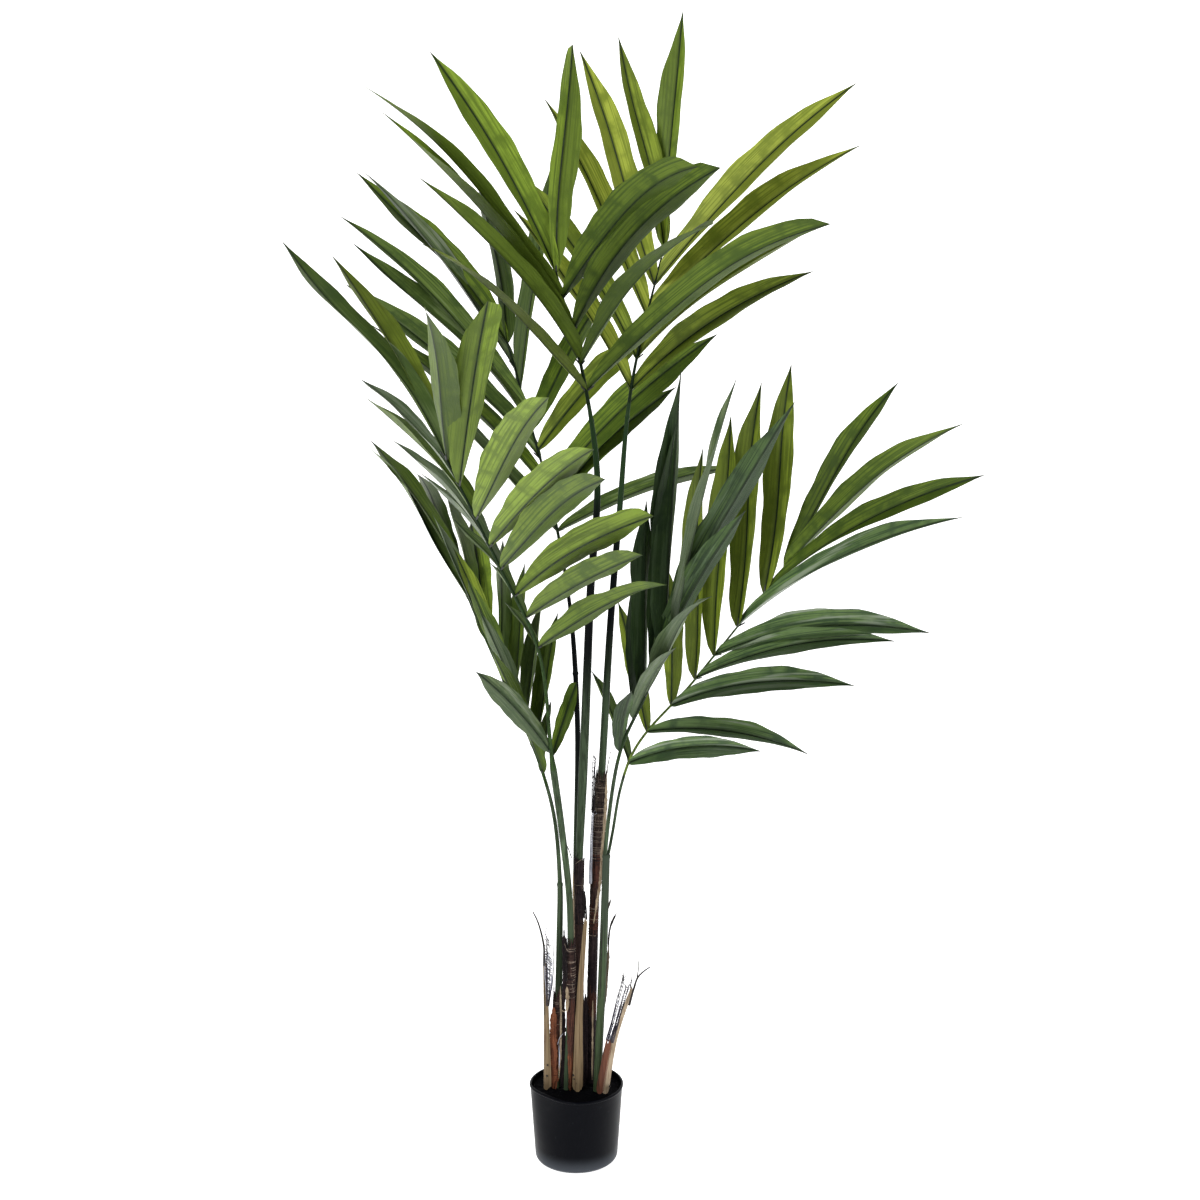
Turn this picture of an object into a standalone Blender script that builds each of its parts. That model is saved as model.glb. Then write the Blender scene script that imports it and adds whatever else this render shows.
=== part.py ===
"""An artificial kentia palm, 1.8 m tall, in a small round plastic pot.

Seven moulded fronds stand on plastic leaf stalks that are set in the filling of the pot. Torn
leaf sheaths wrap the feet of four stalks, and three cut leaf bases stand beside them. The origin
is the centre of the pot's flat underside; +Z is up, +X to the right and -Y to the front.
"""
import math

import bmesh
import bpy
import numpy as np

# ---------------------------------------------------------------- driving dimensions, in metres
POT_HEIGHT = 0.123
POT_FOOT_RADIUS = 0.0650
POT_RIM_RADIUS = 0.0735
POT_WALL = 0.0022
POT_FLOOR = 0.0035
POT_FOOT_ROUND = 0.008        # radius between the wall and the underside
POT_LIP = 0.0012              # how far the rim's bead stands proud
POT_SEGMENTS = 48
DENT_DEPTH = 0.008            # the soft rim is pressed in at the front left
DENT_ANGLE = math.radians(228)
DENT_SPREAD = math.radians(48)
DENT_REACH = 0.075            # the dent fades out this far below the rim
DENT_FOOT = POT_HEIGHT - DENT_REACH
FILLING_BELOW_RIM = 0.008
GAP = 0.0003                  # clearance between pieces that touch
SHEATH_GAP = 0.0010           # between a stalk and the torn sheath round it
FILLING_SIDE_GAP = 0.0007

FILLING_TOP = POT_HEIGHT - FILLING_BELOW_RIM
FOOT = FILLING_TOP + GAP      # the height where stalks leave the filling
DENT_HEIGHTS = [float(height) for height in np.linspace(DENT_FOOT, FILLING_TOP, 4)]

STALK_SIDES = 8
STALK_RING_EVERY = 0.045
RIB_SIDES = 6
RIB_RING_EVERY = 0.045
NECK_BELOW_LEAFLETS = 0.020   # a stalk hands over to its frond's rib this far below the leaflets

LEAFLET_LENGTH = 0.38         # the length that LEAFLET_WIDTH belongs to
LEAFLET_WIDTH = 0.048
WIDTH_GROWTH = 0.75           # shorter leaflets are narrower by this power of their length
LEAFLET_THICKNESS = 0.0105    # at the midrib, as a share of the length
LEAFLET_FOLD = math.radians(17)
ROOT_DEPTH = 0.0008           # a leaflet starts this far behind the middle of the rib
# the outline of a leaflet: share of the length, share of the full width
LEAFLET_OUTLINE = ((0.0, 0.14), (0.10, 0.44), (0.25, 0.78), (0.46, 1.0), (0.68, 0.88),
                   (0.86, 0.50))

# Each frond: the line of its stalk and rib, the radii along it, and its leaflets on either side,
# from the lowest up. Each leaflet: its distance along the line, the direction that it aims in, its
# length, and the degrees that it is turned about its own midrib. The two bows say how far the
# leaflets on the left and on the right arch up, as a share of their length.
FRONDS = {
    "front_left": dict(
        line=[(-.0150, -.008, FOOT), (-.0085, -.017, .320), (-.0100, -.021, .430),
              (-.0212, -.033, .545), (-.0345, -.052, .655), (-.053, -.115, .84),
              (-.101, -.190, .964), (-.168, -.290, 1.127)],
        radii=[(0, .0056), (.30, .0051), (.36, .0053), (.53, .0056), (.56, .0030),
               (1.1, .0016)],
        bows=(.045, .028),
        left=[(.560, (-.46, -.57, .68), .22, -161), (.741, (-.48, .70, .53), .11, -126),
              (.798, (-.45, .70, .55), .13, -142), (.842, (-.51, .68, .53), .19, -144),
              (.894, (-.53, .66, .53), .24, -149), (.936, (-.55, .66, .51), .28, -144),
              (.986, (-.56, .64, .53), .32, -136), (1.045, (-.57, .62, .54), .27, -148),
              (1.071, (-.46, .48, .74), .40, -149), (1.090, (-.57, .43, .70), .43, -143)],
        right=[(.552, (.28, .55, .79), .13, -61), (.741, (.59, -.69, .41), .30, -158),
               (.798, (.50, -.78, .37), .32, -159), (.842, (.55, -.73, .41), .34, -177),
               (.894, (.40, -.82, .41), .36, -149), (.936, (.39, -.83, .40), .37, -147),
               (.986, (.29, -.85, .45), .38, -133), (1.045, (.16, -.78, .61), .38, -121),
               (1.090, (.02, -.84, .54), .34, -162)]),
    "left": dict(
        line=[(-.0320, .000, FOOT), (-.0262, .005, .360), (-.0255, .008, .450),
              (-.0385, .017, .5735), (-.0520, .025, .620), (-.109, .065, .747),
              (-.182, .130, .904), (-.196, .150, .940)],
        radii=[(0, .0062), (.15, .0060), (.325, .0046), (.34, .0036), (.50, .0028),
               (.88, .0014)],
        bows=(.04, .04),
        left=[(.507, (-.29, -.45, .85), .20, -44), (.545, (-.30, -.42, .86), .21, -39),
              (.593, (-.28, -.35, .89), .21, -31), (.642, (-.29, -.25, .92), .21, -34),
              (.692, (-.34, .05, .94), .20, 56), (.746, (-.39, .30, .87), .22, 66),
              (.808, (-.51, .55, .66), .36, -107), (.876, (-.51, .62, .60), .32, -98)],
        right=[(.507, (.07, .72, .69), .14, -103), (.545, (.13, .60, .79), .25, -76),
               (.581, (.08, .66, .75), .25, -81), (.630, (.04, .70, .71), .28, -76),
               (.692, (-.01, .76, .65), .28, 9), (.739, (-.14, .80, .58), .29, -61),
               (.808, (-.19, .80, .57), .31, -9), (.876, (-.30, .84, .45), .30, -38)]),
    "centre": dict(
        line=[(.0045, .004, FOOT), (.0052, .001, .490), (.0100, -.007, .600),
              (.0135, -.014, .680), (.023, -.040, .913), (.033, -.080, 1.097),
              (.016, -.120, 1.221), (-.024, -.190, 1.378)],
        radii=[(0, .0058), (.38, .0058), (.50, .0072), (.80, .0062), (1.0, .0046), (1.1, .0028),
               (1.29, .0015)],
        bows=(.055, .085),
        left=[(1.110, (-.64, -.50, .59), .33, -104), (1.150, (-.56, -.50, .66), .36, -100),
              (1.201, (-.59, -.45, .67), .40, -103), (1.253, (-.63, -.40, .66), .39, -114),
              (1.291, (-.50, .05, .87), .34, -103)],
        right=[(1.110, (.80, -.25, .55), .41, -146), (1.150, (.43, -.79, .44), .38, -99),
               (1.201, (.45, -.76, .46), .40, -125), (1.253, (.41, -.85, .33), .40, -131),
               (1.291, (.07, .20, .98), .32, -33)]),
    "back_left": dict(
        line=[(-.0040, .022, FOOT), (-.0004, .020, .480), (.0015, .036, .720),
              (-.009, .060, .872), (-.040, .100, 1.041), (-.083, .150, 1.193),
              (-.113, .185, 1.293)],
        radii=[(0, .0048), (.62, .0043), (.70, .0040), (.80, .0028), (1.2, .0014)],
        bows=(.045, .05),
        left=[(.885, (-.68, .41, .61), .40, -80), (.950, (-.70, .33, .64), .42, -65),
              (1.005, (-.73, .21, .65), .43, -48), (1.054, (-.69, .16, .71), .42, -43),
              (1.095, (-.69, .08, .72), .42, -34), (1.162, (-.59, .21, .77), .41, -50),
              (1.206, (-.63, .31, .71), .40, -45)],
        right=[(.885, (.83, .50, .26), .36, -56), (.922, (.62, .50, .60), .32, -28),
               (.950, (.67, .42, .61), .41, -25), (1.019, (.58, .55, .60), .31, -19),
               (1.054, (.36, .60, .71), .30, -38), (1.125, (.12, .35, .93), .40, -53),
               (1.206, (-.17, .52, .84), .36, -20)]),
    "top_right": dict(
        line=[(.0215, .018, FOOT), (.0255, .019, .300), (.0320, .023, .496),
              (.0400, .025, .620), (.055, .035, .875), (.067, .050, 1.021), (.085, .075, 1.212),
              (.138, .115, 1.438)],
        radii=[(0, .0050), (.30, .0048), (.42, .0060), (.62, .0060), (.85, .0052), (1.0, .0040),
               (1.1, .0026), (1.34, .0014)],
        bows=(.05, .055),
        left=[(1.102, (-.53, .20, .82), .34, -53), (1.151, (-.52, .15, .84), .34, -42),
              (1.219, (-.42, .10, .90), .37, -32), (1.269, (-.31, .02, .95), .37, -13),
              (1.331, (-.21, .10, .97), .33, -31)],
        right=[(1.102, (.78, .37, .51), .38, -47), (1.151, (.78, .25, .57), .37, -64),
               (1.219, (.78, .05, .62), .42, -35), (1.269, (.71, 0, .71), .43, -29),
               (1.331, (.08, .21, .97), .379, 146)]),
    "right_front": dict(
        line=[(.0450, -.0120, .4990), (.0515, -.0175, .565), (.068, -.050, .671),
              (.103, -.115, .768), (.155, -.250, .922)],
        radii=[(0, .0034), (.18, .0028), (.51, .0014)],
        bows=(.05, .06),
        left=[(.179, (.08, -.74, .67), .18, -142), (.250, (.02, -.30, .95), .26, 74),
              (.301, (-.01, -.47, .88), .34, 95), (.354, (.05, -.41, .91), .40, 64),
              (.407, (.03, -.35, .94), .42, 73)],
        right=[(.250, (.22, -.78, .59), .24, -37), (.301, (.27, -.76, .60), .30, -54),
               (.354, (.32, -.59, .74), .34, 177), (.407, (.37, -.39, .84), .42, 140),
               (.460, (.16, -.48, .86), .40, 134)]),
    "right": dict(
        line=[(.0506, -.0055, .4987), (.0568, .001, .530), (.0690, .010, .598),
              (.0820, .018, .639), (.187, .055, .763), (.334, .105, .937)],
        radii=[(0, .0025), (.14, .0023), (.55, .0013)],
        bows=(.05, .068),
        left=[(.146, (-.36, .45, .82), .16, -62), (.201, (-.20, .45, .87), .22, -34),
              (.257, (-.03, .42, .91), .24, -24), (.314, (.04, .26, .97), .37, 48),
              (.362, (.07, .17, .98), .38, 51), (.421, (.10, .18, .98), .39, 49),
              (.489, (.13, .29, .95), .38, 33), (.541, (.52, .25, .81), .36, 50)],
        right=[(.144, (.90, -.40, .19), .22, 11), (.201, (.87, -.49, 0), .27, -15),
               (.257, (.84, -.50, .20), .31, 10), (.314, (.82, -.51, .26), .34, -7),
               (.362, (.82, -.53, .20), .36, -3), (.421, (.77, -.42, .48), .40, -11),
               (.489, (.79, -.36, .50), .39, -13), (.541, (.69, -.32, .65), .36, -64)]),
}

# The thick stalk that the two fronds on the right share.
PAIR_STALK_LINE = [(.0325, -.014, FOOT), (.0384, -.012, .247), (.0431, -.011, .365),
                   (.0472, -.009, .4985)]
PAIR_STALK_RADII = [(0, .0063), (.15, .0067), (.30, .0063), (.385, .0059)]

# Torn sheaths: the stalk that each one wraps, the height it reaches and its wall, then the compass
# angle of its open side seen from above and how far it is open, at the foot and at the top.
SHEATHS = {
    "sheath_left": dict(frond="left", top=.270, wall=.0016, open_foot=(10, 190),
                        open_top=(80, 150)),
    "sheath_front_left": dict(frond="front_left", top=.362, wall=.0019, open_foot=(195, 210),
                              open_top=(110, 120)),
    "sheath_centre": dict(frond="centre", top=.488, wall=.0018, open_foot=(90, 170),
                          open_top=(90, 130)),
    "sheath_top_right": dict(frond="top_right", top=.617, wall=.0020, open_foot=(80, 150),
                             open_top=(60, 120)),
}
SHEATH_TAPER = 0.7            # share of the wall that is left at a sheath's top
SHEATH_ARC_STEPS = 8
SHEATH_RING_EVERY = 0.045

# Cut leaf bases: gutter-shaped stumps. The line of each gutter's axis, its radius, and the compass
# angle that it faces and how far round it reaches, at the foot and at the top.
STUMPS = {
    "stump_left": dict(line=[(-.0408, -.004, FOOT), (-.0410, -.004, .230), (-.0424, -.004, .345)],
                       radius=.0085, at_foot=(215, 128), at_top=(211, 30)),
    "stump_centre": dict(line=[(.0020, -.008, FOOT), (.0075, -.009, .290), (.0155, -.009, .392)],
                         radius=.0088, at_foot=(268, 98), at_top=(268, 34)),
    "stump_right": dict(line=[(.0385, -.0165, FOOT), (.0535, -.0170, .206), (.0800, -.018, .291)],
                        radius=.0092, at_foot=(283, 130), at_top=(300, 50)),
}
STUMP_WALL = 0.0026
STUMP_RINGS = 7


# ---------------------------------------------------------------- lines, rings and blades
def unit(vector):
    vector = np.asarray(vector, float)
    return vector / np.linalg.norm(vector)


def smooth_line(points, steps=24):
    """A smooth curve through the points, as dense points and their distance along it."""
    points = np.array(points, float)
    ends = np.vstack([2 * points[0] - points[1], points, 2 * points[-1] - points[-2]])
    dense = []
    for i in range(len(points) - 1):
        before, start, end, after = ends[i:i + 4]
        reach = np.linalg.norm(end - start)
        reach_before = np.linalg.norm(start - before)
        reach_after = np.linalg.norm(after - end)
        leave = ((start - before) / reach_before * reach + (end - start) / reach * reach_before)
        leave *= reach / (reach + reach_before)
        arrive = ((end - start) / reach * reach_after + (after - end) / reach_after * reach)
        arrive *= reach / (reach + reach_after)
        for t in np.arange(steps) / steps:
            dense.append((2 * t**3 - 3 * t**2 + 1) * start + (t**3 - 2 * t**2 + t) * leave
                         + (3 * t**2 - 2 * t**3) * end + (t**3 - t**2) * arrive)
    dense = np.array(dense + [points[-1]])
    lengths = np.linalg.norm(np.diff(dense, axis=0), axis=1)
    return dense, np.concatenate([[0.0], np.cumsum(lengths)])


def place(line, distance):
    """The point at a distance along a smooth line, and the line's direction there."""
    dense, along = line
    point, ahead, behind = (
        np.array([np.interp(distance + shift, along, dense[:, k]) for k in range(3)])
        for shift in (0.0, 0.004, -0.004))
    return point, unit(ahead - behind)


def place_from_foot(line, distance):
    """As place, but square to the filling at the very foot, where the piece stands flat."""
    point, direction = place(line, distance)
    return point, direction if distance > 0 else np.array([0, 0, 1.0])


def height_to_distance(line, height):
    dense, along = line
    return float(np.interp(height, dense[:, 2], along))


def between(values, share):
    """A value, or a direction, at a share of the way along evenly spaced ones."""
    values = np.array(values, float)
    marks = np.linspace(0, 1, len(values))
    if values.ndim == 1:
        return float(np.interp(share, marks, values))
    return np.array([np.interp(share, marks, column) for column in values.T])


def ring_axes(direction):
    """Two axes square to a line's direction, the first one nearest to +X."""
    first = unit(np.array([1.0, 0, 0]) - direction[0] * direction)
    return first, np.cross(direction, first)


def bridge(rings, closed_tip=None):
    """Faces that join rings of points into one closed body, with flat ends or a pointed tip."""
    count = len(rings[0])
    points = [p for ring in rings for p in ring]
    faces = [tuple(reversed(range(count)))]
    for i in range(len(rings) - 1):
        low, high = i * count, (i + 1) * count
        for j in range(count):
            k = (j + 1) % count
            faces.append((low + j, low + k, high + k, high + j))
    last = (len(rings) - 1) * count
    if closed_tip is None:
        faces.append(tuple(last + j for j in range(count)))
    else:
        points.append(closed_tip)
        tip = len(points) - 1
        faces += [(last + j, last + (j + 1) % count, tip) for j in range(count)]
    return points, faces


def tube(line, radii, start, end, sides, stations):
    """A tapering limb along a smooth line."""
    distances, thicknesses = zip(*radii)
    rings = []
    for distance in np.linspace(start, end, stations):
        point, direction = place_from_foot(line, distance)
        across, over = ring_axes(direction)
        radius = np.interp(distance, distances, thicknesses)
        angles = [2 * math.pi * j / sides for j in range(sides)]
        rings.append([point + radius * (math.cos(a) * across + math.sin(a) * over)
                      for a in angles])
    return bridge(rings)


def gutter(stations):
    """A strip with a curved section. Each station: centre, direction, radius, wall, faces, arc."""
    rings = []
    for centre, direction, radius, wall, faces, arc in stations:
        across, over = ring_axes(direction)
        angles = [faces + arc * (j / SHEATH_ARC_STEPS - 0.5) for j in range(SHEATH_ARC_STEPS + 1)]
        rims = [math.cos(a) * across + math.sin(a) * over for a in angles]
        outer = [centre + (radius + wall) * rim for rim in rims]
        inner = [centre + radius * rim for rim in reversed(rims)]
        rings.append(outer + inner)
    points, faces = bridge(rings)
    count = len(rings[0])
    last = len(points) - count
    caps = []
    for j in range(SHEATH_ARC_STEPS):
        a, b, c, d = j, j + 1, count - 2 - j, count - 1 - j
        caps.append((d, c, b, a))
        caps.append((last + a, last + b, last + c, last + d))
    return points, faces[1:-1] + caps


def blade(base, rib_direction, aim, length, side, turn, bow):
    """One leaflet: folded along its midrib, thickest there, and arched a little upwards."""
    level = unit(rib_direction - rib_direction.dot(aim) * aim)
    square = side * np.cross(aim, level)
    across = math.cos(turn) * level + math.sin(turn) * square
    face = math.cos(turn) * square - math.sin(turn) * level
    up = np.array([0, 0, 1.0])
    up = up - up.dot(aim) * aim
    width = LEAFLET_WIDTH * (length / LEAFLET_LENGTH) ** WIDTH_GROWTH
    half_thick = 0.5 * LEAFLET_THICKNESS * length
    base = base - ROOT_DEPTH * aim
    rings = []
    for share, breadth in LEAFLET_OUTLINE:
        middle = base + length * (share * aim + 4 * bow * share * (1 - share) * up)
        reach = 0.5 * width * breadth
        raised = reach * math.tan(LEAFLET_FOLD) * face
        thick = half_thick * (1 - 0.4 * share) * face
        rings.append([middle - reach * across + raised, middle - thick,
                      middle + reach * across + raised, middle + thick])
    return bridge(rings, closed_tip=base + length * aim)


def leaflets(frond, line):
    """Base, rib direction, aim, length, side, turn and bow of each leaflet of a frond."""
    for side, row, bow in ((-1, frond["left"], frond["bows"][0]),
                           (1, frond["right"], frond["bows"][1])):
        for distance, aim, length, turn in row:
            yield *place(line, distance), unit(aim), length, side, math.radians(turn), bow


def rib_span(frond):
    """Where the rib of a frond starts and ends along its line."""
    distances = [leaflet[0] for leaflet in frond["left"] + frond["right"]]
    return min(distances) - NECK_BELOW_LEAFLETS, max(distances)


def wall_radius(angle, height):
    """The pot's outer radius at an angle and a height, with the pressed-in place at the rim."""
    radius = POT_FOOT_RADIUS + (POT_RIM_RADIUS - POT_FOOT_RADIUS) * height / POT_HEIGHT
    away = (angle - DENT_ANGLE + math.pi) % (2 * math.pi) - math.pi
    if abs(away) >= DENT_SPREAD:
        return radius
    fade = max(0.0, 1 - (POT_HEIGHT - height) / DENT_REACH)
    return radius - DENT_DEPTH * fade * math.cos(0.5 * math.pi * away / DENT_SPREAD) ** 2


# ---------------------------------------------------------------- Blender objects
def clear_scene():
    for old in list(bpy.data.objects):
        bpy.data.objects.remove(old, do_unlink=True)


def material(name, colour, roughness, metallic=0.0):
    made = bpy.data.materials.get(name) or bpy.data.materials.new(name)
    made.use_nodes = True
    shader = made.node_tree.nodes["Principled BSDF"]
    shader.inputs["Base Color"].default_value = (*colour, 1.0)
    shader.inputs["Roughness"].default_value = roughness
    shader.inputs["Metallic"].default_value = metallic
    return made


def add_solid(name, points, faces, finish, smooth=False):
    """An object from points and faces, with its faces pointing out."""
    mesh = bpy.data.meshes.new(name)
    mesh.from_pydata([tuple(p) for p in points], [], faces)
    shape = bmesh.new()
    shape.from_mesh(mesh)
    bmesh.ops.recalc_face_normals(shape, faces=shape.faces)
    shape.to_mesh(mesh)
    shape.free()
    mesh.materials.append(finish)
    if smooth:
        mesh.shade_smooth()
        mesh.set_sharp_from_angle(angle=math.radians(40))
    solid = bpy.data.objects.new(name, mesh)
    bpy.context.scene.collection.objects.link(solid)
    return solid


def keep_largest_shell(solid):
    """Drops loose scraps, and the inner skin of any hollow that fusing has sealed."""
    shape = bmesh.new()
    shape.from_mesh(solid.data)
    bmesh.ops.remove_doubles(shape, verts=shape.verts, dist=1e-6)
    bmesh.ops.dissolve_degenerate(shape, edges=shape.edges, dist=1e-6)
    left = set(shape.faces)
    shells = []
    while left:
        shell = set()
        queue = [left.pop()]
        while queue:
            face = queue.pop()
            shell.add(face)
            for edge in face.edges:
                for other in edge.link_faces:
                    if other in left:
                        left.discard(other)
                        queue.append(other)
        shells.append(shell)
    shells.sort(key=len)
    dropped = [face for shell in shells[:-1] for face in shell]
    bmesh.ops.delete(shape, geom=dropped, context='FACES')
    shape.to_mesh(solid.data)
    shape.free()


def fuse(solid, pieces):
    """Joins loose pieces to a solid by one Boolean union, and removes them."""
    group = bpy.data.collections.new(solid.name + "_pieces")
    bpy.context.scene.collection.children.link(group)
    for piece in pieces:
        bpy.context.scene.collection.objects.unlink(piece)
        group.objects.link(piece)
    union = solid.modifiers.new("union", 'BOOLEAN')
    union.operation = 'UNION'
    union.operand_type = 'COLLECTION'
    union.collection = group
    union.solver = 'EXACT'
    graph = bpy.context.evaluated_depsgraph_get()
    joined = bpy.data.meshes.new_from_object(solid.evaluated_get(graph))
    solid.modifiers.clear()
    solid.data = joined
    for piece in pieces:
        bpy.data.objects.remove(piece, do_unlink=True)
    bpy.data.collections.remove(group)
    keep_largest_shell(solid)


# ---------------------------------------------------------------- sub-parts
def lathe(name, profile, finish):
    """A round piece from a profile of (radius below the wall's, height), closed at the axis."""
    angles = [2 * math.pi * j / POT_SEGMENTS for j in range(POT_SEGMENTS)]
    rings = []
    for inset, height in profile:
        rings.append([np.array([math.cos(a) * (wall_radius(a, height) - inset),
                                math.sin(a) * (wall_radius(a, height) - inset), height])
                      for a in angles])
    points, faces = bridge(rings)
    return add_solid(name, points, faces, finish, smooth=True)


def make_pot():
    """A thin-walled pot with a rounded foot edge and a beaded rim, open at the top."""
    plastic = material("pot_plastic", (0.012, 0.013, 0.015), 0.45)
    foot_edge = [(POT_FOOT_ROUND * (1 - math.sin(a)), POT_FOOT_ROUND * (1 - math.cos(a)))
                 for a in np.linspace(0, 0.5 * math.pi, 5)]
    outside = [(0.0, height) for height in DENT_HEIGHTS]
    rim = [(0.0, POT_HEIGHT - 0.006), (-POT_LIP, POT_HEIGHT - 0.004),
           (-POT_LIP, POT_HEIGHT - 0.001), (0.0, POT_HEIGHT), (POT_WALL, POT_HEIGHT)]
    inside = [(POT_WALL, height) for height in reversed(DENT_HEIGHTS)]
    floor = [(POT_WALL, POT_FLOOR + 0.006), (POT_WALL + 0.005, POT_FLOOR)]
    return lathe("pot", foot_edge + outside + rim + inside + floor, plastic)


def make_filling():
    """The weighted filling that the stalks are set in, level below the rim."""
    finish = material("filling_black", (0.010, 0.009, 0.008), 0.9)
    inset = POT_WALL + FILLING_SIDE_GAP
    floor = POT_FLOOR + GAP
    profile = [(inset + 0.0056, floor), (inset, floor + 0.0062)]
    profile += [(inset, height) for height in DENT_HEIGHTS]
    return lathe("pot_filling", profile, finish)


def make_stalks(lines):
    green = material("stalk_green", (0.055, 0.095, 0.050), 0.42)
    dark = material("stalk_dark", (0.022, 0.040, 0.030), 0.42)
    for name, frond in FRONDS.items():
        end = rib_span(frond)[0] - GAP
        stations = max(4, round(end / STALK_RING_EVERY))
        points, faces = tube(lines[name], frond["radii"], 0.0, end, STALK_SIDES, stations)
        finish = dark if name in ("centre", "back_left", "top_right") else green
        add_solid("stalk_" + name, points, faces, finish, smooth=True)
    line = smooth_line(PAIR_STALK_LINE)
    points, faces = tube(line, PAIR_STALK_RADII, 0.0, line[1][-1], STALK_SIDES, 9)
    add_solid("stalk_right_pair", points, faces, green, smooth=True)


def make_sheaths(lines):
    """Torn sheaths, each a split sleeve round the foot of a stalk, more open towards its top."""
    brown = material("sheath_brown", (0.060, 0.026, 0.016), 0.75)
    for name, sheath in SHEATHS.items():
        line = lines[sheath["frond"]]
        distances, radii = zip(*FRONDS[sheath["frond"]]["radii"])
        end = height_to_distance(line, sheath["top"])
        stations = []
        for share in np.linspace(0, 1, max(4, round(end / SHEATH_RING_EVERY))):
            point, direction = place_from_foot(line, share * end)
            radius = np.interp(share * end, distances, radii) + SHEATH_GAP
            wall = sheath["wall"] * (1 - (1 - SHEATH_TAPER) * share)
            open_at, opening = between((sheath["open_foot"], sheath["open_top"]), share)
            stations.append((point, direction, radius, wall, math.radians(open_at + 180),
                             math.radians(360 - opening)))
        points, faces = gutter(stations)
        add_solid(name, points, faces, brown, smooth=True)


def make_stumps():
    """Cut leaf bases: gutters that narrow towards their torn tops."""
    tan = material("stump_tan", (0.48, 0.33, 0.17), 0.8)
    for name, stump in STUMPS.items():
        line = smooth_line(stump["line"])
        stations = []
        for share in np.linspace(0, 1, STUMP_RINGS):
            point, direction = place_from_foot(line, share * line[1][-1])
            faces_to, arc = between((stump["at_foot"], stump["at_top"]), share)
            wall = STUMP_WALL * (1 - 0.5 * share)
            stations.append((point, direction, stump["radius"], wall, math.radians(faces_to),
                             math.radians(arc)))
        points, faces = gutter(stations)
        add_solid(name, points, faces, tan, smooth=True)


def make_fronds(lines):
    """Each frond is its rib with every leaflet fused to it."""
    leaf = material("leaflet_green", (0.095, 0.190, 0.045), 0.5)
    for name, frond in FRONDS.items():
        line = lines[name]
        start, end = rib_span(frond)
        stations = round((end - start) / RIB_RING_EVERY) + 2
        points, faces = tube(line, frond["radii"], start, end, RIB_SIDES, stations)
        rib = add_solid("frond_" + name, points, faces, leaf)
        pieces = []
        for number, leaflet in enumerate(leaflets(frond, line)):
            points, faces = blade(*leaflet)
            pieces.append(add_solid(f"{name}_leaflet_{number}", points, faces, leaf))
        fuse(rib, pieces)


clear_scene()
frond_lines = {name: smooth_line(frond["line"]) for name, frond in FRONDS.items()}
make_pot()
make_filling()
make_stalks(frond_lines)
make_sheaths(frond_lines)
make_stumps()
make_fronds(frond_lines)
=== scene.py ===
import math

import bpy
import numpy as np
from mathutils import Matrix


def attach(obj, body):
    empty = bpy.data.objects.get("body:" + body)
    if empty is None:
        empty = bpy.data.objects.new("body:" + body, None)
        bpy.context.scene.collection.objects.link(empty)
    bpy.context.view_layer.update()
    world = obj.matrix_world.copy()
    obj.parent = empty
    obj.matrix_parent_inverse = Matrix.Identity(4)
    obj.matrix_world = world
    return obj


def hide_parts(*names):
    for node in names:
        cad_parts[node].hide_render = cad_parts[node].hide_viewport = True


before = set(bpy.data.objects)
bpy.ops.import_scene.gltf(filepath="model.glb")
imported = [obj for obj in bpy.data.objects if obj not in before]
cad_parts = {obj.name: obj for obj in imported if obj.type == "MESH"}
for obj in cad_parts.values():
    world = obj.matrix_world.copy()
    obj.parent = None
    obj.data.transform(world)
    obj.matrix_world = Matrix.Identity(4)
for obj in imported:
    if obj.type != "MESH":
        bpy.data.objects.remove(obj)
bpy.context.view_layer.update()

# ---------------------------------------------------------------- pot
# A grower's pot, blow-moulded in thin black plastic with a rounded foot and a small bead round its
# rim. It is soft enough that the rim is pressed in at the front left. Dust dulls it near its foot.
POT_HEIGHT = 0.123
POT_FOOT_RADIUS = 0.0650
POT_RIM_RADIUS = 0.0735
POT_WALL = 0.0022
POT_FLOOR = 0.0035
POT_FOOT_ROUND = 0.008
POT_SEGMENTS = 128
POT_FOOT_RINGS = 9
POT_WALL_RINGS = 12
POT_BEAD_RINGS = 7
POT_WALL_BAND = (0.016, POT_HEIGHT - 0.0065)
POT_BEAD_DEPTH = 0.0012
POT_BEAD_HALF = 0.0020
POT_BEAD_MIDDLE = POT_HEIGHT - 0.0024
POT_BEAD_TURN = 1.4
POT_LIP_FLAT = (0.0008, 0.0016)
POT_LIP_ROUND = 0.0007
POT_FLOOR_INSET = 0.005
POT_DUST_TOP = 0.030
DENT_DEPTH = 0.008
DENT_ANGLE = math.radians(228)
DENT_SPREAD = math.radians(48)
DENT_REACH = 0.075
FULL_TURN = 2 * math.pi
QUARTER_TURN = 0.5 * math.pi


def srgb(red, green, blue):
    """A shader colour from the eight-bit one that a painter would name."""
    return tuple(((c / 255 + 0.055) / 1.055) ** 2.4 if c > 10 else c / 255 / 12.92
                 for c in (red, green, blue))


def times(factor, colour):
    """A colour made lighter or darker."""
    return tuple(factor * c for c in colour)


def finish(name, colour, roughness, specular=0.5):
    """A new material of one plain colour, to be tinted and embossed."""
    made = bpy.data.materials.new(name)
    made.use_nodes = True
    shader = made.node_tree.nodes["Principled BSDF"]
    shader.inputs["Base Color"].default_value = (*colour, 1)
    shader.inputs["Roughness"].default_value = roughness
    shader.inputs["Specular IOR Level"].default_value = specular
    return made


def coordinates(made, along):
    """Metres in the piece's own axes, or across and along its leaflets for "grain"."""
    nodes = made.node_tree.nodes
    if along == "object":
        return nodes.new("ShaderNodeTexCoord").outputs["Object"]
    grain = nodes.new("ShaderNodeUVMap")
    grain.uv_map = along
    return grain.outputs["UV"]


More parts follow.
